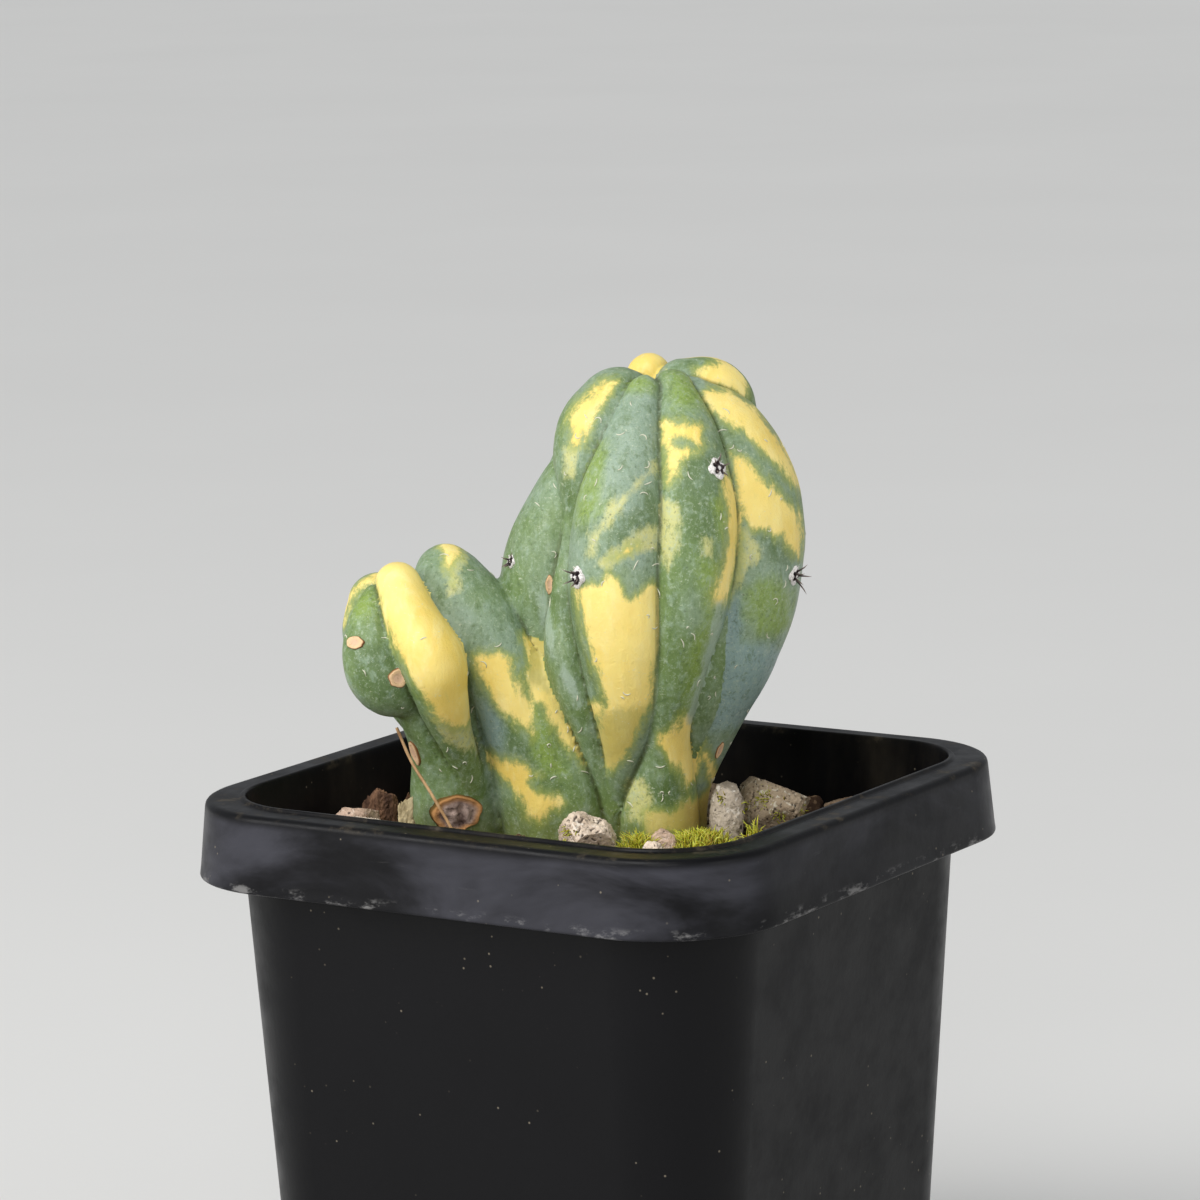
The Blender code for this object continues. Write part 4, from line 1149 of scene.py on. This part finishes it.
def sampled(points, step):
    """A smooth run of (x, y, z, radius) through the points of a rib, about one step apart."""
    path = np.array(points, float)
    path = np.vstack([2 * path[0] - path[1], path, 2 * path[-1] - path[-2]])
    found = []
    for a, b, c, d in zip(path, path[1:], path[2:], path[3:]):
        count = max(2, math.ceil(np.linalg.norm((c - b)[:3]) / step))
        for t in np.arange(count) / count:
            line = 2 * b + (c - a) * t
            bend = (2 * a - 5 * b + 4 * c - d) * t**2
            twist = (3 * b - a - 3 * c + d) * t**3
            found.append(0.5 * (line + bend + twist))
    found.append(path[-2])
    return np.array(found)


def unit_ball(subdivisions):
    bm = bmesh.new()
    bmesh.ops.create_icosphere(bm, subdivisions=subdivisions, radius=1.0)
    points = np.array([vertex.co for vertex in bm.verts])
    faces = np.array([[vertex.index for vertex in face.verts] for face in bm.faces])
    bm.free()
    return points, faces


def rib_runs():
    """Each rib's samples in the pot's frame: name to rows of x, y, z, radius."""
    runs = {}
    for name, rib in RIBS.items():
        rows = sampled(rib, SAMPLE_STEP)
        runs[name] = np.array([(*on_plant(x, y, z), radius) for x, y, z, radius in rows])
    return runs


def ball_mesh(rows):
    """An object of a ball at each row of x, y, z and radius."""
    ball, ball_faces = unit_ball(3)
    points = np.concatenate([ball * row[3] + row[:3] for row in rows])
    faces = np.concatenate([ball_faces + len(ball) * index for index in range(len(rows))])
    mesh = bpy.data.meshes.new("balls")
    mesh.vertices.add(len(points))
    mesh.vertices.foreach_set("co", (points * MM).ravel())
    mesh.loops.add(faces.size)
    mesh.loops.foreach_set("vertex_index", faces.ravel())
    mesh.polygons.add(len(faces))
    mesh.polygons.foreach_set("loop_start", np.arange(0, faces.size, 3))
    mesh.update(calc_edges=True)
    balls = bpy.data.objects.new("balls", mesh)
    bpy.context.scene.collection.objects.link(balls)
    return balls


def skin_mesh(runs):
    """The plant's skin, remeshed from balls along the ribs: its points in millimetres, normals and faces."""
    balls = ball_mesh(np.concatenate(list(runs.values())))
    remesh = balls.modifiers.new("skin", "REMESH")
    remesh.mode = "VOXEL"
    remesh.voxel_size = VOXEL * MM
    smooth = balls.modifiers.new("smooth", "SMOOTH")
    smooth.factor = 0.5
    smooth.iterations = 6
    apply_modifiers(balls)
    bm = bmesh.new()
    bm.from_mesh(balls.data)
    bpy.data.objects.remove(balls)
    bmesh.ops.scale(bm, vec=(1 / MM,) * 3, verts=bm.verts[:])
    everything = bm.verts[:] + bm.edges[:] + bm.faces[:]
    cut = bmesh.ops.bisect_plane(bm, geom=everything, plane_co=(0, 0, SKIN_BOTTOM), plane_no=(0, 0, -1),
                                 clear_outer=True)
    edges = [item for item in cut["geom_cut"] if isinstance(item, bmesh.types.BMEdge)]
    bmesh.ops.holes_fill(bm, edges=edges)
    bmesh.ops.triangulate(bm, faces=[face for face in bm.faces if len(face.verts) > 4])
    for vertex in bm.verts:
        lump = noise.noise(vertex.co / 5.5 + Vector((3, 1, 7))) * 0.16 + noise.noise(vertex.co / 1.9) * 0.035
        vertex.co += vertex.normal * lump
    bm.normal_update()
    bm.verts.ensure_lookup_table()
    points = np.array([vertex.co for vertex in bm.verts])
    normals = np.array([vertex.normal for vertex in bm.verts])
    faces = [[vertex.index for vertex in face.verts] for face in bm.faces]
    bm.free()
    return points, normals, faces


def rib_fields(points, runs):
    """For each point: the nearest rib, how far along it the point is, its crease and all the distances.

    The crease is 1 midway between two ribs that turn away from each other, and 0 well inside one rib.
    """
    distances = []
    alongs = []
    outs = []
    for run in runs.values():
        best = np.full(len(points), VERY_FAR)
        row_of = np.zeros(len(points), int)
        for index, row in enumerate(run):
            away = np.linalg.norm(points - row[:3], axis=1) - row[3]
            nearer = away < best
            best[nearer] = away[nearer]
            row_of[nearer] = index
        out = points - run[row_of, :3]
        distances.append(best)
        alongs.append(row_of / (len(run) - 1))
        outs.append(out / np.linalg.norm(out, axis=1)[:, None])
    distances = np.array(distances)
    outs = np.array(outs)
    rows = np.arange(len(points))
    nearest, second = np.argsort(distances, axis=0)[:2]
    gap = distances[second, rows] - distances[nearest, rows]
    aligned = np.sum(outs[nearest, rows] * outs[second, rows], axis=1)
    turned = np.clip((1 - aligned) / CREASE_TURN, 0, 1) * np.clip(1.3 + 2 * aligned, 0, 1)
    crease = turned * np.clip(1 - gap / (CREASE_LEAST + CREASE_MORE * turned), 0, 1)
    return nearest, np.array(alongs)[nearest, rows], crease, distances


def creased(points, normals, crease):
    """The grooves between two ribs pressed in, deeper and narrower than the remeshed skin leaves them."""
    return points - normals * (CREASE_DEPTH * crease**1.5)[:, None]


def inside_distance(places, outline):
    """Signed distance in pixels to an outline, positive inside it."""
    corners = np.array(outline, float)
    nearest = np.full(len(places), VERY_FAR)
    inside = np.zeros(len(places), bool)
    for a, b in zip(corners, np.roll(corners, -1, axis=0)):
        edge = b - a
        share = np.clip(((places - a) @ edge) / (edge @ edge), 0, 1)
        nearest = np.minimum(nearest, np.linalg.norm(places - a - share[:, None] * edge, axis=1))
        crosses = (a[1] > places[:, 1]) != (b[1] > places[:, 1])
        rise = edge[1] if abs(edge[1]) > LEAST_RISE else LEAST_RISE
        inside ^= crosses & (places[:, 0] < a[0] + (places[:, 1] - a[1]) / rise * edge[0])
    return np.where(inside, nearest, -nearest)


def seeded_field(points, size, stretch, seed):
    """Noise of this size in millimetres, drawn out along z."""
    shift = Vector((seed, seed * 1.7, seed * 0.6))
    tall = size * stretch
    return np.array([noise.noise(Vector((x / size, y / size, z / tall)) + shift) for x, y, z in points])


def plant_depth(points):
    """How far each pot-frame point lies from the viewer's side of the plant: its y in the plant's frame."""
    return -points[:, 0] * math.sin(PLANT_TURN) + points[:, 1] * math.cos(PLANT_TURN)


def drawn_fields(points, facing, away, names, distances):
    """The patches drawn in the frame, as signed distances in millimetres, on the ribs that they belong to."""
    pixels = frame_pixels(points)
    scale = FOCAL_PIXELS / away
    best = distances.min(axis=0)
    values = {kind: np.full(len(points), -FIELD_LIMIT) for kind in KINDS}
    for kind, ribs, outline in PATCHES:
        near = np.zeros(len(points), bool)
        for rib in ribs.split():
            for member in GROUPS.get(rib, (rib,)):
                near |= distances[names.index(member)] < best + RIB_MARGIN
        chosen = np.nonzero(near & (facing > LEAST_FACING))[0]
        inside = inside_distance(pixels[chosen], outline) / scale[chosen]
        inside = np.clip(inside, -FIELD_LIMIT, FIELD_LIMIT)
        values[kind][chosen] = np.maximum(values[kind][chosen], inside)
    return values


def seeded_fields(points, nearest, count):
    """The same kinds of patch for the skin that the photograph doesn't show, by a seeded rule."""
    around = seeded_field(points, 5.2, 2.6, PATCH_SEED)
    around = around + 0.45 * seeded_field(points, 2.1, 2.0, PATCH_SEED + 4)
    rib_draw = np.random.default_rng(3).uniform(-0.12, 0.16, count)[nearest]
    fields = {"yellow": (around + rib_draw - UNSEEN_YELLOW) * 7.0}
    for kind, (size, stretch, seed, level) in UNSEEN_PATCHES.items():
        fields[kind] = (seeded_field(points, size, stretch, seed) - level) * 8.0
    return fields


def skin_values(points, normals, names, fields):
    """The per-vertex numbers that the skin's material reads."""
    nearest, along, crease, distances = fields
    sight = np.array(camera_frame()[0]) - points
    away = np.linalg.norm(sight, axis=1)
    facing = np.sum(sight * normals, axis=1) / away
    values = drawn_fields(points, facing, away, names, distances)
    unseen = seeded_fields(points, nearest, len(names))
    seen_ribs = np.isin(nearest, [names.index(name) for name in SEEN_RIBS])
    edge_ribs = np.isin(nearest, [names.index(name) for name in EDGE_RIBS])
    edge_share = np.where(edge_ribs, np.clip((facing - 0.02) / 0.2, 0, 1), 0.0)
    share = np.where(seen_ribs, np.clip((SEEN_DEPTH - plant_depth(points)) / SEEN_FADE, 0, 1), edge_share)
    nothing = np.full(len(points), -FIELD_LIMIT)
    for kind in KINDS:
        other = np.clip(unseen.get(kind, nothing), -FIELD_LIMIT, FIELD_LIMIT)
        values[kind] = values[kind] * share + other * (1 - share)
    tip = (nearest == names.index("back")) & (points[:, 2] > SOIL_LEVEL + YELLOW_TIP)
    values["yellow"] = np.where(tip, 2.0, values["yellow"])
    wax = np.array([BLOOM.get(name, COMMON_BLOOM) for name in names])[nearest]
    values["bloom"] = wax[:, 0] + (wax[:, 1] - wax[:, 0]) * along
    # The crease also darkens the skin's colour in the grooves, as painted shade
    values["crease"] = crease
    return values


def make_skin():
    runs = rib_runs()
    points, normals, faces = skin_mesh(runs)
    fields = rib_fields(points, runs)
    points = creased(points, normals, fields[2])
    values = skin_values(points, normals, list(runs), fields)
    add_object("cactus_skin_look", points, faces, skin_material(), ["cactus"], values=values)
    return BVHTree.FromPolygons(points.tolist(), faces)


def skin_frame(tree, point):
    """A matrix at the skin nearest to a plant point: its z axis out of the skin, its y axis up along it."""
    place, normal, _, _ = tree.find_nearest(on_plant(*point))
    side = Vector((0, 0, 1)).cross(normal).normalized()
    turn = Matrix((side, normal.cross(side), normal)).transposed().to_4x4()
    return Matrix.Translation(place) @ turn


def moved(matrix, points):
    matrix = np.array(matrix)
    return np.asarray(points, float) @ matrix[:3, :3].T + matrix[:3, 3]


def round_point(angle):
    """The point of a unit circle at this angle, level."""
    return Vector((math.cos(angle), math.sin(angle), 0))


def tube(path, radii, sides):
    """The points and faces of a closed tube along a path of vectors."""
    points = []
    for index, place in enumerate(path):
        along = path[min(index + 1, len(path) - 1)] - path[max(index - 1, 0)]
        turn = along.to_track_quat("Z", "Y")
        for side in range(sides):
            points.append(place + turn @ (round_point(2 * math.pi * side / sides) * radii[index]))
    faces = ring_faces(len(path), sides)
    faces.append(tuple(reversed(range(sides))))
    faces.append(tuple((len(path) - 1) * sides + side for side in range(sides)))
    return np.array(points), faces


def felt_cushion(pad, spots):
    """A lumpy woolly pad, dark in the pits at its spines: its points, its faces and the points' darkness."""
    ball, faces = unit_ball(4)
    heights = np.array([noise.noise(Vector(point) * 3.2 + Vector((pad, 0, 0))) for point in ball])
    fringe = 1.1 + 0.16 * heights + 0.14 * np.cos(4 * np.arctan2(ball[:, 1], ball[:, 0]))
    shape = ball * fringe[:, None] * np.array([pad, pad, pad * 0.42])
    dark = np.zeros(len(ball))
    for spot in spots:
        away = np.linalg.norm(shape[:, :2] - spot, axis=1)
        pit = np.clip(1 - away / (0.4 * pad), 0, 1) * (shape[:, 2] > 0)
        shape[:, 2] -= 0.2 * pad * pit
        dark = np.maximum(dark, np.clip(pit * 2.2, 0, 1))
    return shape, faces, dark


def add_felt(pile, frame, pad, spots, draw):
    """A pad with short hairs all round, away from its pits."""
    shape, faces, dark = felt_cushion(pad, spots)
    pile.add(moved(frame, shape), faces, spot=dark)
    for _ in range(FELT_HAIRS):
        angle = draw.uniform(0, 2 * math.pi)
        reach = pad * math.sqrt(draw.uniform(0.1, 1.0))
        start = Vector((reach * math.cos(angle), reach * math.sin(angle), pad * 0.12))
        if min(math.dist(start.xy, spot) for spot in spots) < 0.34 * pad:
            continue
        turns = (math.cos(angle + draw.normal(0, 0.5)), math.sin(angle + draw.normal(0, 0.5)))
        out = Vector((*turns, draw.uniform(0.15, 1.1))).normalized()
        length = pad * draw.uniform(0.3, 0.55)
        bend = Vector(draw.normal(0, 0.25, 3)) * length
        path = [start, start + out * length * 0.5 + bend * 0.3, start + out * length + bend]
        points, hair_faces = tube(path, HAIR_RADII, 4)
        pile.add(moved(frame, points), hair_faces, spot=0.0)


def spine_path(around, rise, length, pad):
    """A slightly bowed spine from the pad's pit, in the areole's own frame."""
    sine = math.sin(rise)
    out = Vector((math.cos(around) * sine, math.sin(around) * sine, math.cos(rise)))
    root = Vector((out.x, out.y, 0)).normalized() * pad * 0.42 + Vector((0, 0, pad * 0.12))
    tip = Vector((0, 0, pad * 0.2)) + out * (length + 0.1)
    bow = Vector((0, 0, -0.06 * length))
    return [root, root.lerp(tip, 0.35) - bow, root.lerp(tip, 0.7) - bow, tip]


def make_areoles(tree):
    draw = np.random.default_rng(SPINE_SEED)
    hair_draw = np.random.default_rng(SPINE_SEED + 1)
    felt = Pile()
    spines = Pile()
    for point, pad, spine in AREOLES:
        frame = skin_frame(tree, point)
        spots = []
        for index in range(SPINES):
            around = 2 * math.pi * (index + draw.uniform(-0.2, 0.2)) / SPINES
            rise = math.radians(draw.uniform(35, 75))
            length = spine * draw.uniform(0.8, 1.15) + 0.4
            points, faces = tube(spine_path(around, rise, length, pad), SPINE_RADII, 8)
            spines.add(moved(frame, points), faces, tip=np.repeat([0.0, 0.35, 0.7, 1.0], 8))
            spots.append(np.array((math.cos(around), math.sin(around))) * pad * 0.52)
        add_felt(felt, frame, pad, spots, hair_draw)
    felt.piece("areole_felt_look", felt_material(), ["cactus"])
    spines.piece("spines_look", spine_material(), ["cactus"])


def add_disc(pile, frame, width, height, thickness, rows, seed, lumps=0.0):
    """A scab on the skin: rings of points with a raised rim. rim is 0 at its middle and 1 at its edge."""
    points = [(0.0, 0.0, rows[0][1] * thickness)]
    rims = [0.0]
    for reach, level in rows[1:]:
        for side in range(DISC_SIDES):
            out = round_point(2 * math.pi * side / DISC_SIDES)
            wave = 1 + 0.16 * noise.noise(out * 1.8 + Vector((seed, 0, 0))) * reach
            x, y = out.x * reach * width * wave, out.y * reach * height * wave
            bump = lumps * noise.noise(Vector((x * 1.3, y * 1.3, seed))) * (1 - reach**4)
            points.append((x, y, level * thickness + bump))
            rims.append(reach)
    faces = [(0, 1 + side, 1 + (side + 1) % DISC_SIDES) for side in range(DISC_SIDES)]
    faces += [(a, d, c, b) for a, b, c, d in ring_faces(len(rows) - 1, DISC_SIDES, 1)]
    last = 1 + (len(rows) - 2) * DISC_SIDES
    faces.append(tuple(last + side for side in reversed(range(DISC_SIDES))))
    pile.add(moved(frame, points), faces, rim=rims)


def make_scars(tree):
    pile = Pile()
    for index, (point, width, height, thickness) in enumerate(SCARS):
        frame = skin_frame(tree, point)
        add_disc(pile, frame, width, height, thickness * 0.9, SCAR_ROWS, index * 3.7, 0.05)
    pile.piece("scars_look", scar_material(), ["cactus"])
    cork = Pile()
    point, width, height, thickness = CORK_PATCH
    rows = [(0.0, 1.0)]
    rows += [(reach, 1.0 - 0.28 * reach) for reach in np.linspace(0.08, 0.8, 12)]
    rows += CORK_EDGE_ROWS
    add_disc(cork, skin_frame(tree, point), width, height, thickness * 0.85, rows, 9.1, 0.5)
    cork.piece("cork_patch_look", cork_material(), ["cactus"])


def skin_thread(tree, pile, hit, length, turn, bend):
    """A thin dry thread that lies on the skin from where a ray hit it, if it did, turning as it goes."""
    place, normal, _, _ = hit
    if place is None:
        return
    path = []
    angle = math.radians(turn)
    for _ in range(THREAD_STEPS):
        path.append(place + normal * 0.02)
        side = Vector((0, 0, 1)).cross(normal).normalized()
        step = side * math.cos(angle) + normal.cross(side) * math.sin(angle)
        place, normal, _, _ = tree.find_nearest(place + step * length / THREAD_STEPS)
        angle += math.radians(bend) / THREAD_STEPS
    last = THREAD_STEPS - 1
    radii = [THREAD_RADIUS * math.sin(math.pi * (0.12 + 0.76 * i / last)) for i in range(THREAD_STEPS)]
    pile.add(*tube(path, radii, 5))


def make_scratches(tree):
    """Threads at the places seen in the frame, and seeded ones over the rest of the skin."""
    pile = Pile()
    for x, y, length, turn, bend in SCRATCHES:
        skin_thread(tree, pile, tree.ray_cast(*frame_ray(x, y)), length / PIXELS_PER_MM, turn, bend)
    draw = np.random.default_rng(SCRATCH_SEED)
    for _ in range(SEEDED_SCRATCHES):
        around = draw.uniform(0, 2 * math.pi)
        axis = on_plant(draw.uniform(-18, 14), 6.0, draw.uniform(4, 50))
        far = axis + Vector((math.cos(around), math.sin(around), 0.1)) * 60
        hit = tree.ray_cast(far, (axis - far).normalized())
        if hit[0] is not None:
            skin_thread(tree, pile, hit, draw.uniform(0.5, 1.4), draw.uniform(0, 360), draw.normal(0, 160))
    pile.piece("scratches_look", scratch_material())


def pressed_ball(seed, fineness):
    """A unit ball pressed flat on the stone's seeded sides."""
    draw = np.random.default_rng(seed)
    normals = draw.normal(size=(STONE_PLANES, 3))
    normals /= np.linalg.norm(normals, axis=1)[:, None]
    reaches = draw.uniform(*STONE_REACHES, STONE_PLANES)
    places, faces = unit_ball(fineness)
    for normal, reach in zip(normals, reaches):
        over = np.maximum(places @ normal - reach, 0)
        places = places - over[:, None] * normal
    return places, faces


def chipped(places, seed, count):
    """Small flat chips all over a stone, each cut a little way in."""
    draw = np.random.default_rng(seed + 500)
    for _ in range(count):
        normal = draw.normal(size=3)
        normal /= np.linalg.norm(normal)
        heights = places @ normal
        over = np.maximum(heights - heights.max() * draw.uniform(0.93, 0.995), 0)
        places = places - over[:, None] * normal
    return places


def worn(points, centre, seed, roughness, pores):
    """Lumps, chipped grain and open pores on a stone: the moved points and how deep in a pore each one is."""
    shift = Vector((seed * 1.37, seed * 0.71, seed * 0.33))
    out = points - centre
    out = out / np.linalg.norm(out, axis=1)[:, None]
    deep = np.zeros(len(points))
    heights = np.zeros(len(points))
    for index, point in enumerate(points):
        place = Vector(point) + shift
        lumps = 0.5 * noise.noise(place / 1.3) - 0.5 * abs(noise.noise(place / 0.6))
        heights[index] = lumps + 0.3 * noise.noise(place / 0.26) + 0.18 * noise.noise(place / 0.13)
        warp = place + Vector((noise.noise(place), noise.noise(place.yzx), noise.noise(place.zxy))) * 0.3
        cell = noise.noise(Vector((warp.x / 0.3, warp.y / 0.75, warp.z / 0.36)) + shift)
        deep[index] = max(0.0, min(1.0, (cell - 0.52 + 0.34 * pores) * 5.0))
    moved_points = points + out * (roughness * heights + 0.04 - 0.34 * pores * deep)[:, None]
    return moved_points, deep


def rough_stone(seed, fineness, chips, radii, turn, centre, roughness, pores):
    """A pressed, chipped and worn stone: its points, its faces and how deep in a pore each point is."""
    places, faces = pressed_ball(seed, fineness)
    points = moved(turn, chipped(places, seed, chips) * radii) + centre
    points, deep = worn(points, centre, seed, roughness, pores)
    return points, faces, deep


def free_place(x, y, radius, taken):
    """True where a stone of this radius lies inside the pot, clear of the plant and of the stones taken."""
    place = to_pot(x, y, 0)
    limit = SCATTER_REACH - radius
    if abs(place.x) > limit or abs(place.y) > limit:
        return False
    corner = SCATTER_REACH - MOUTH_RADIUS
    inside = math.hypot(max(abs(place.x) - corner, 0), max(abs(place.y) - corner, 0))
    if inside > MOUTH_RADIUS - radius:
        return False
    for other_x, other_y, reach in (*PLANT_FEET, *taken):
        if math.hypot(x - other_x, y - other_y) < STONE_CROWDING * (reach + radius) + STONE_GAP:
            return False
    return True


def scattered_stones():
    """The stones placed by the seeded rule, as rows like those of PLACED_STONES."""
    draw = np.random.default_rng(SCATTER_SEED)
    taken = [(x, y, max(rx, ry)) for x, y, _, rx, ry, *_ in PLACED_STONES]
    taken += [(x, y, 2.3) for x, y, *_ in (*BARK_CHIPS, SLAB_CHIP)]
    taken += [(x, y, 0.6) for x, y, _ in STALK_PATH[:2]]
    found = []
    for index in range(SCATTERED_STONES):
        share = index / SCATTERED_STONES
        size = SCATTER_LARGEST - (SCATTER_LARGEST - SCATTER_SMALLEST) * share
        for _ in range(SCATTER_TRIES):
            x, y = draw.uniform(-42, 42, 2)
            if free_place(x, y, size, taken):
                taken.append((x, y, size))
                flat = draw.uniform(0.62, 0.85)
                radii = (size, size * draw.uniform(0.7, 0.95), size * flat)
                height = size * flat * draw.uniform(0.35, 0.6)
                found.append((x, y, height, *radii, draw.uniform(0, 180), 100 + index))
                break
    return found


def make_stones():
    looks = {name: stone_material(name, *look) for name, look in STONE_LOOKS.items()}
    for index, stone in enumerate((*PLACED_STONES, *scattered_stones())):
        x, y, height, *radii, turn, seed = stone
        near = index < len(PLACED_STONES)
        look = PLACED_LOOKS[index] if near else SCATTERED_LOOKS[index % len(SCATTERED_LOOKS)]
        centre = np.array(to_pot(x, y, height))
        spin = Matrix.Rotation(math.radians(turn), 4, "Z")
        fineness = 6 if near else 5
        points, faces, deep = rough_stone(seed, fineness, 12, radii, spin, centre, 0.3, STONE_LOOKS[look][3])
        name = f"pumice_{index + 1:02d}"
        add_object(name + "_look", points, faces, looks[look], [name], values={"pore": deep})


def make_chips():
    bark = bark_material("bark_flake", (140, 104, 78), (66, 44, 32))
    slab = bark_material("tan_flake", (206, 190, 150), (140, 124, 90))
    chips = [(f"bark_chip_{index + 1:02d}", chip, bark, "bark") for index, chip in enumerate(BARK_CHIPS)]
    for name, chip, material, slot in (*chips, ("slab_chip", SLAB_CHIP, slab, "flake")):
        x, y, height, *radii, turn, lean, seed = chip
        tilt = Matrix.Rotation(math.radians(turn), 4, "Z") @ Matrix.Rotation(math.radians(lean), 4, "Y")
        points, faces, _ = rough_stone(seed, 6, 8, radii, tilt, np.array(to_pot(x, y, height)), 0.55, 0.6)
        add_object(name + "_look", points, faces, material, [name])


def make_stalk():
    path = [to_pot(*row[:3]) for row in sampled([(*point, 0.0) for point in STALK_PATH], 0.4)]
    swells = [0.86 + 0.12 * noise.noise(Vector((index * 0.35, 0, 0))) for index in range(len(path))]
    points, faces = tube(path, [STALK_RADIUS * swell for swell in swells], 12)
    add_object("dry_stalk_look", points, faces, straw_material(), ["dry_stalk"])


def ground_tree(names):
    """The CAD solids of these nodes, in millimetres, to set small things on."""
    points = []
    faces = []
    for name in names:
        mesh = frame["nodes"][name].data
        start = len(points)
        points.extend(vertex.co / MM for vertex in mesh.vertices)
        faces.extend([index + start for index in face.vertices] for face in mesh.polygons)
    return BVHTree.FromPolygons(points, faces)


def grain_shapes(draw):
    """A few ragged crumbs, each the hull of its corners."""
    shapes = []
    for _ in range(GRAIN_SHAPES):
        bm = bmesh.new()
        places = draw.normal(size=(GRAIN_CORNERS, 3))
        places /= np.linalg.norm(places, axis=1)[:, None]
        for place in places * draw.uniform(0.75, 1.1, (GRAIN_CORNERS, 1)):
            bm.verts.new(place)
        hull = bmesh.ops.convex_hull(bm, input=bm.verts[:])
        loose = list({v for v in hull["geom_interior"] if isinstance(v, bmesh.types.BMVert)})
        bmesh.ops.delete(bm, geom=loose, context="VERTS")
        bmesh.ops.recalc_face_normals(bm, faces=bm.faces[:])
        bm.verts.index_update()
        points = np.array([vertex.co for vertex in bm.verts])
        shapes.append((points, [[vertex.index for vertex in face.verts] for face in bm.faces]))
        bm.free()
    return shapes


def in_mouth(x, y, margin):
    """True inside the soil's rounded square by at least margin."""
    half = inner_half(SOIL_LEVEL) - margin
    corner = inner_half(SOIL_LEVEL) - inner_radius(SOIL_LEVEL)
    if max(abs(x), abs(y)) > half:
        return False
    return math.hypot(max(abs(x) - corner, 0), max(abs(y) - corner, 0)) < inner_radius(SOIL_LEVEL) - margin


def make_grains():
    """Loose grit over the whole of the soil."""
    draw = np.random.default_rng(GRAIN_SEED)
    tree = ground_tree(["soil"])
    shapes = grain_shapes(draw)
    pile = Pile()
    made = 0
    while made < GRAINS:
        x, y = draw.uniform(-31, 31, 2)
        size = GRAIN_LEAST + GRAIN_MORE * draw.uniform(0, 1) ** GRAIN_SKEW
        if not in_mouth(x, y, size + 0.15):
            continue
        made += 1
        place, _, _, _ = tree.ray_cast(Vector((x, y, SOIL_LEVEL + 6)), Vector((0, 0, -1)))
        if place is None or place.z < SOIL_LEVEL - 1.0:
            continue
        points, faces = shapes[draw.integers(len(shapes))]
        turn = Vector(draw.normal(size=3)).to_track_quat("Z", "Y").to_matrix().to_4x4()
        radii = np.array((size, size * draw.uniform(0.55, 1.0), size * draw.uniform(0.45, 0.9)))
        spot = Matrix.Translation(place + Vector((0, 0, 0.35 * size))) @ turn
        pile.add(moved(spot, points * radii), faces, tone=draw.uniform(0, 1))
    pile.piece("soil_grit_look", grain_material(), smooth=False)


def moss_blade(draw, root, reach):
    """A short curved blade, shorter the further its root is from the cushion's middle."""
    length = draw.uniform(1.1, 3.0) * (1 - 0.25 * reach)
    lean = Vector((draw.normal(0, 0.32), draw.normal(0, 0.32), 1.0)).normalized()
    droop = Vector((lean.x, lean.y, -0.12)) * length * draw.uniform(0.2, 0.6)
    path = [root, root + lean * length * 0.4, root + lean * length * 0.75, root + lean * length + droop]
    thick = draw.uniform(0.08, 0.15)
    return tube(path, [thick * 0.7, thick, thick * 0.7, 0.015], 3)


def grow_cushion(draw, tree, mounds, blades, cushion):
    """A low mound of old growth, with blades all over it."""
    centre_x, centre_y, wide, deep, mound, count = cushion
    ball, faces = unit_ball(4)
    lumps = np.array([noise.noise(Vector(point) * 3.0 + Vector((centre_x, 0, 0))) for point in ball])
    shape = ball * (0.94 + 0.12 * lumps)[:, None] * (wide, deep, mound)
    turn = Matrix.Rotation(PLANT_TURN, 4, "Z")
    mounds.add(moved(Matrix.Translation(to_pot(centre_x, centre_y, 0.1)) @ turn, shape), faces)
    for _ in range(count):
        angle = draw.uniform(0, 2 * math.pi)
        reach = math.sqrt(draw.uniform(0, 1))
        x = centre_x + wide * reach * math.cos(angle)
        y = centre_y + deep * reach * math.sin(angle)
        place, _, _, _ = tree.ray_cast(to_pot(x, y, 9.0), Vector((0, 0, -1)))
        top = SOIL_LEVEL + mound * math.sqrt(max(0.0, 1 - reach**2))
        if place is None or place.z > top + 0.8:
            continue
        points, faces = moss_blade(draw, Vector((place.x, place.y, max(place.z, top) - 0.25)), reach)
        blades.add(points, faces, tip=np.repeat([0.0, 0.4, 0.75, 1.0], 3), tone=draw.uniform(0, 1))


def grow_tuft(draw, tree, blades, pixels, spread, count):
    """Short blades on a stone, round the place seen at these pixels of the frame."""
    for _ in range(count):
        place, normal, _, _ = tree.ray_cast(*frame_ray(*draw.normal(pixels, spread)))
        if place is None:
            continue
        out = (normal + Vector(draw.normal(0, 0.5, 3))).normalized() * draw.uniform(0.35, 0.8)
        points, faces = tube([place - out * 0.6, place + out * 0.5, place + out], [0.09, 0.075, 0.015], 3)
        blades.add(points, faces, tip=np.repeat([0.0, 0.5, 1.0], 3), tone=draw.uniform(0, 1))


def make_moss():
    """Cushions on the soil, and tufts on the stones."""
    draw = np.random.default_rng(MOSS_SEED)
    stones = [name for name in frame["nodes"] if name.startswith("pumice")]
    tree = ground_tree(["soil", *stones])
    blades = Pile()
    mounds = Pile()
    for cushion in MOSS:
        grow_cushion(draw, tree, mounds, blades, cushion)
    for x, y, spread, count in STONE_MOSS:
        grow_tuft(draw, tree, blades, (x, y), spread, count)
    mounds.piece("moss_mounds_look", moss_mound_material())
    blades.piece("moss_look", moss_material())


def finish_soil():
    for slot in frame["nodes"]["soil"].material_slots:
        slot.material = soil_material()


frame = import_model()
make_camera()
make_stage()
make_pot()
skin_tree = make_skin()
make_areoles(skin_tree)
make_scars(skin_tree)
make_scratches(skin_tree)
make_stones()
make_chips()
make_stalk()
finish_soil()
make_grains()
make_moss()
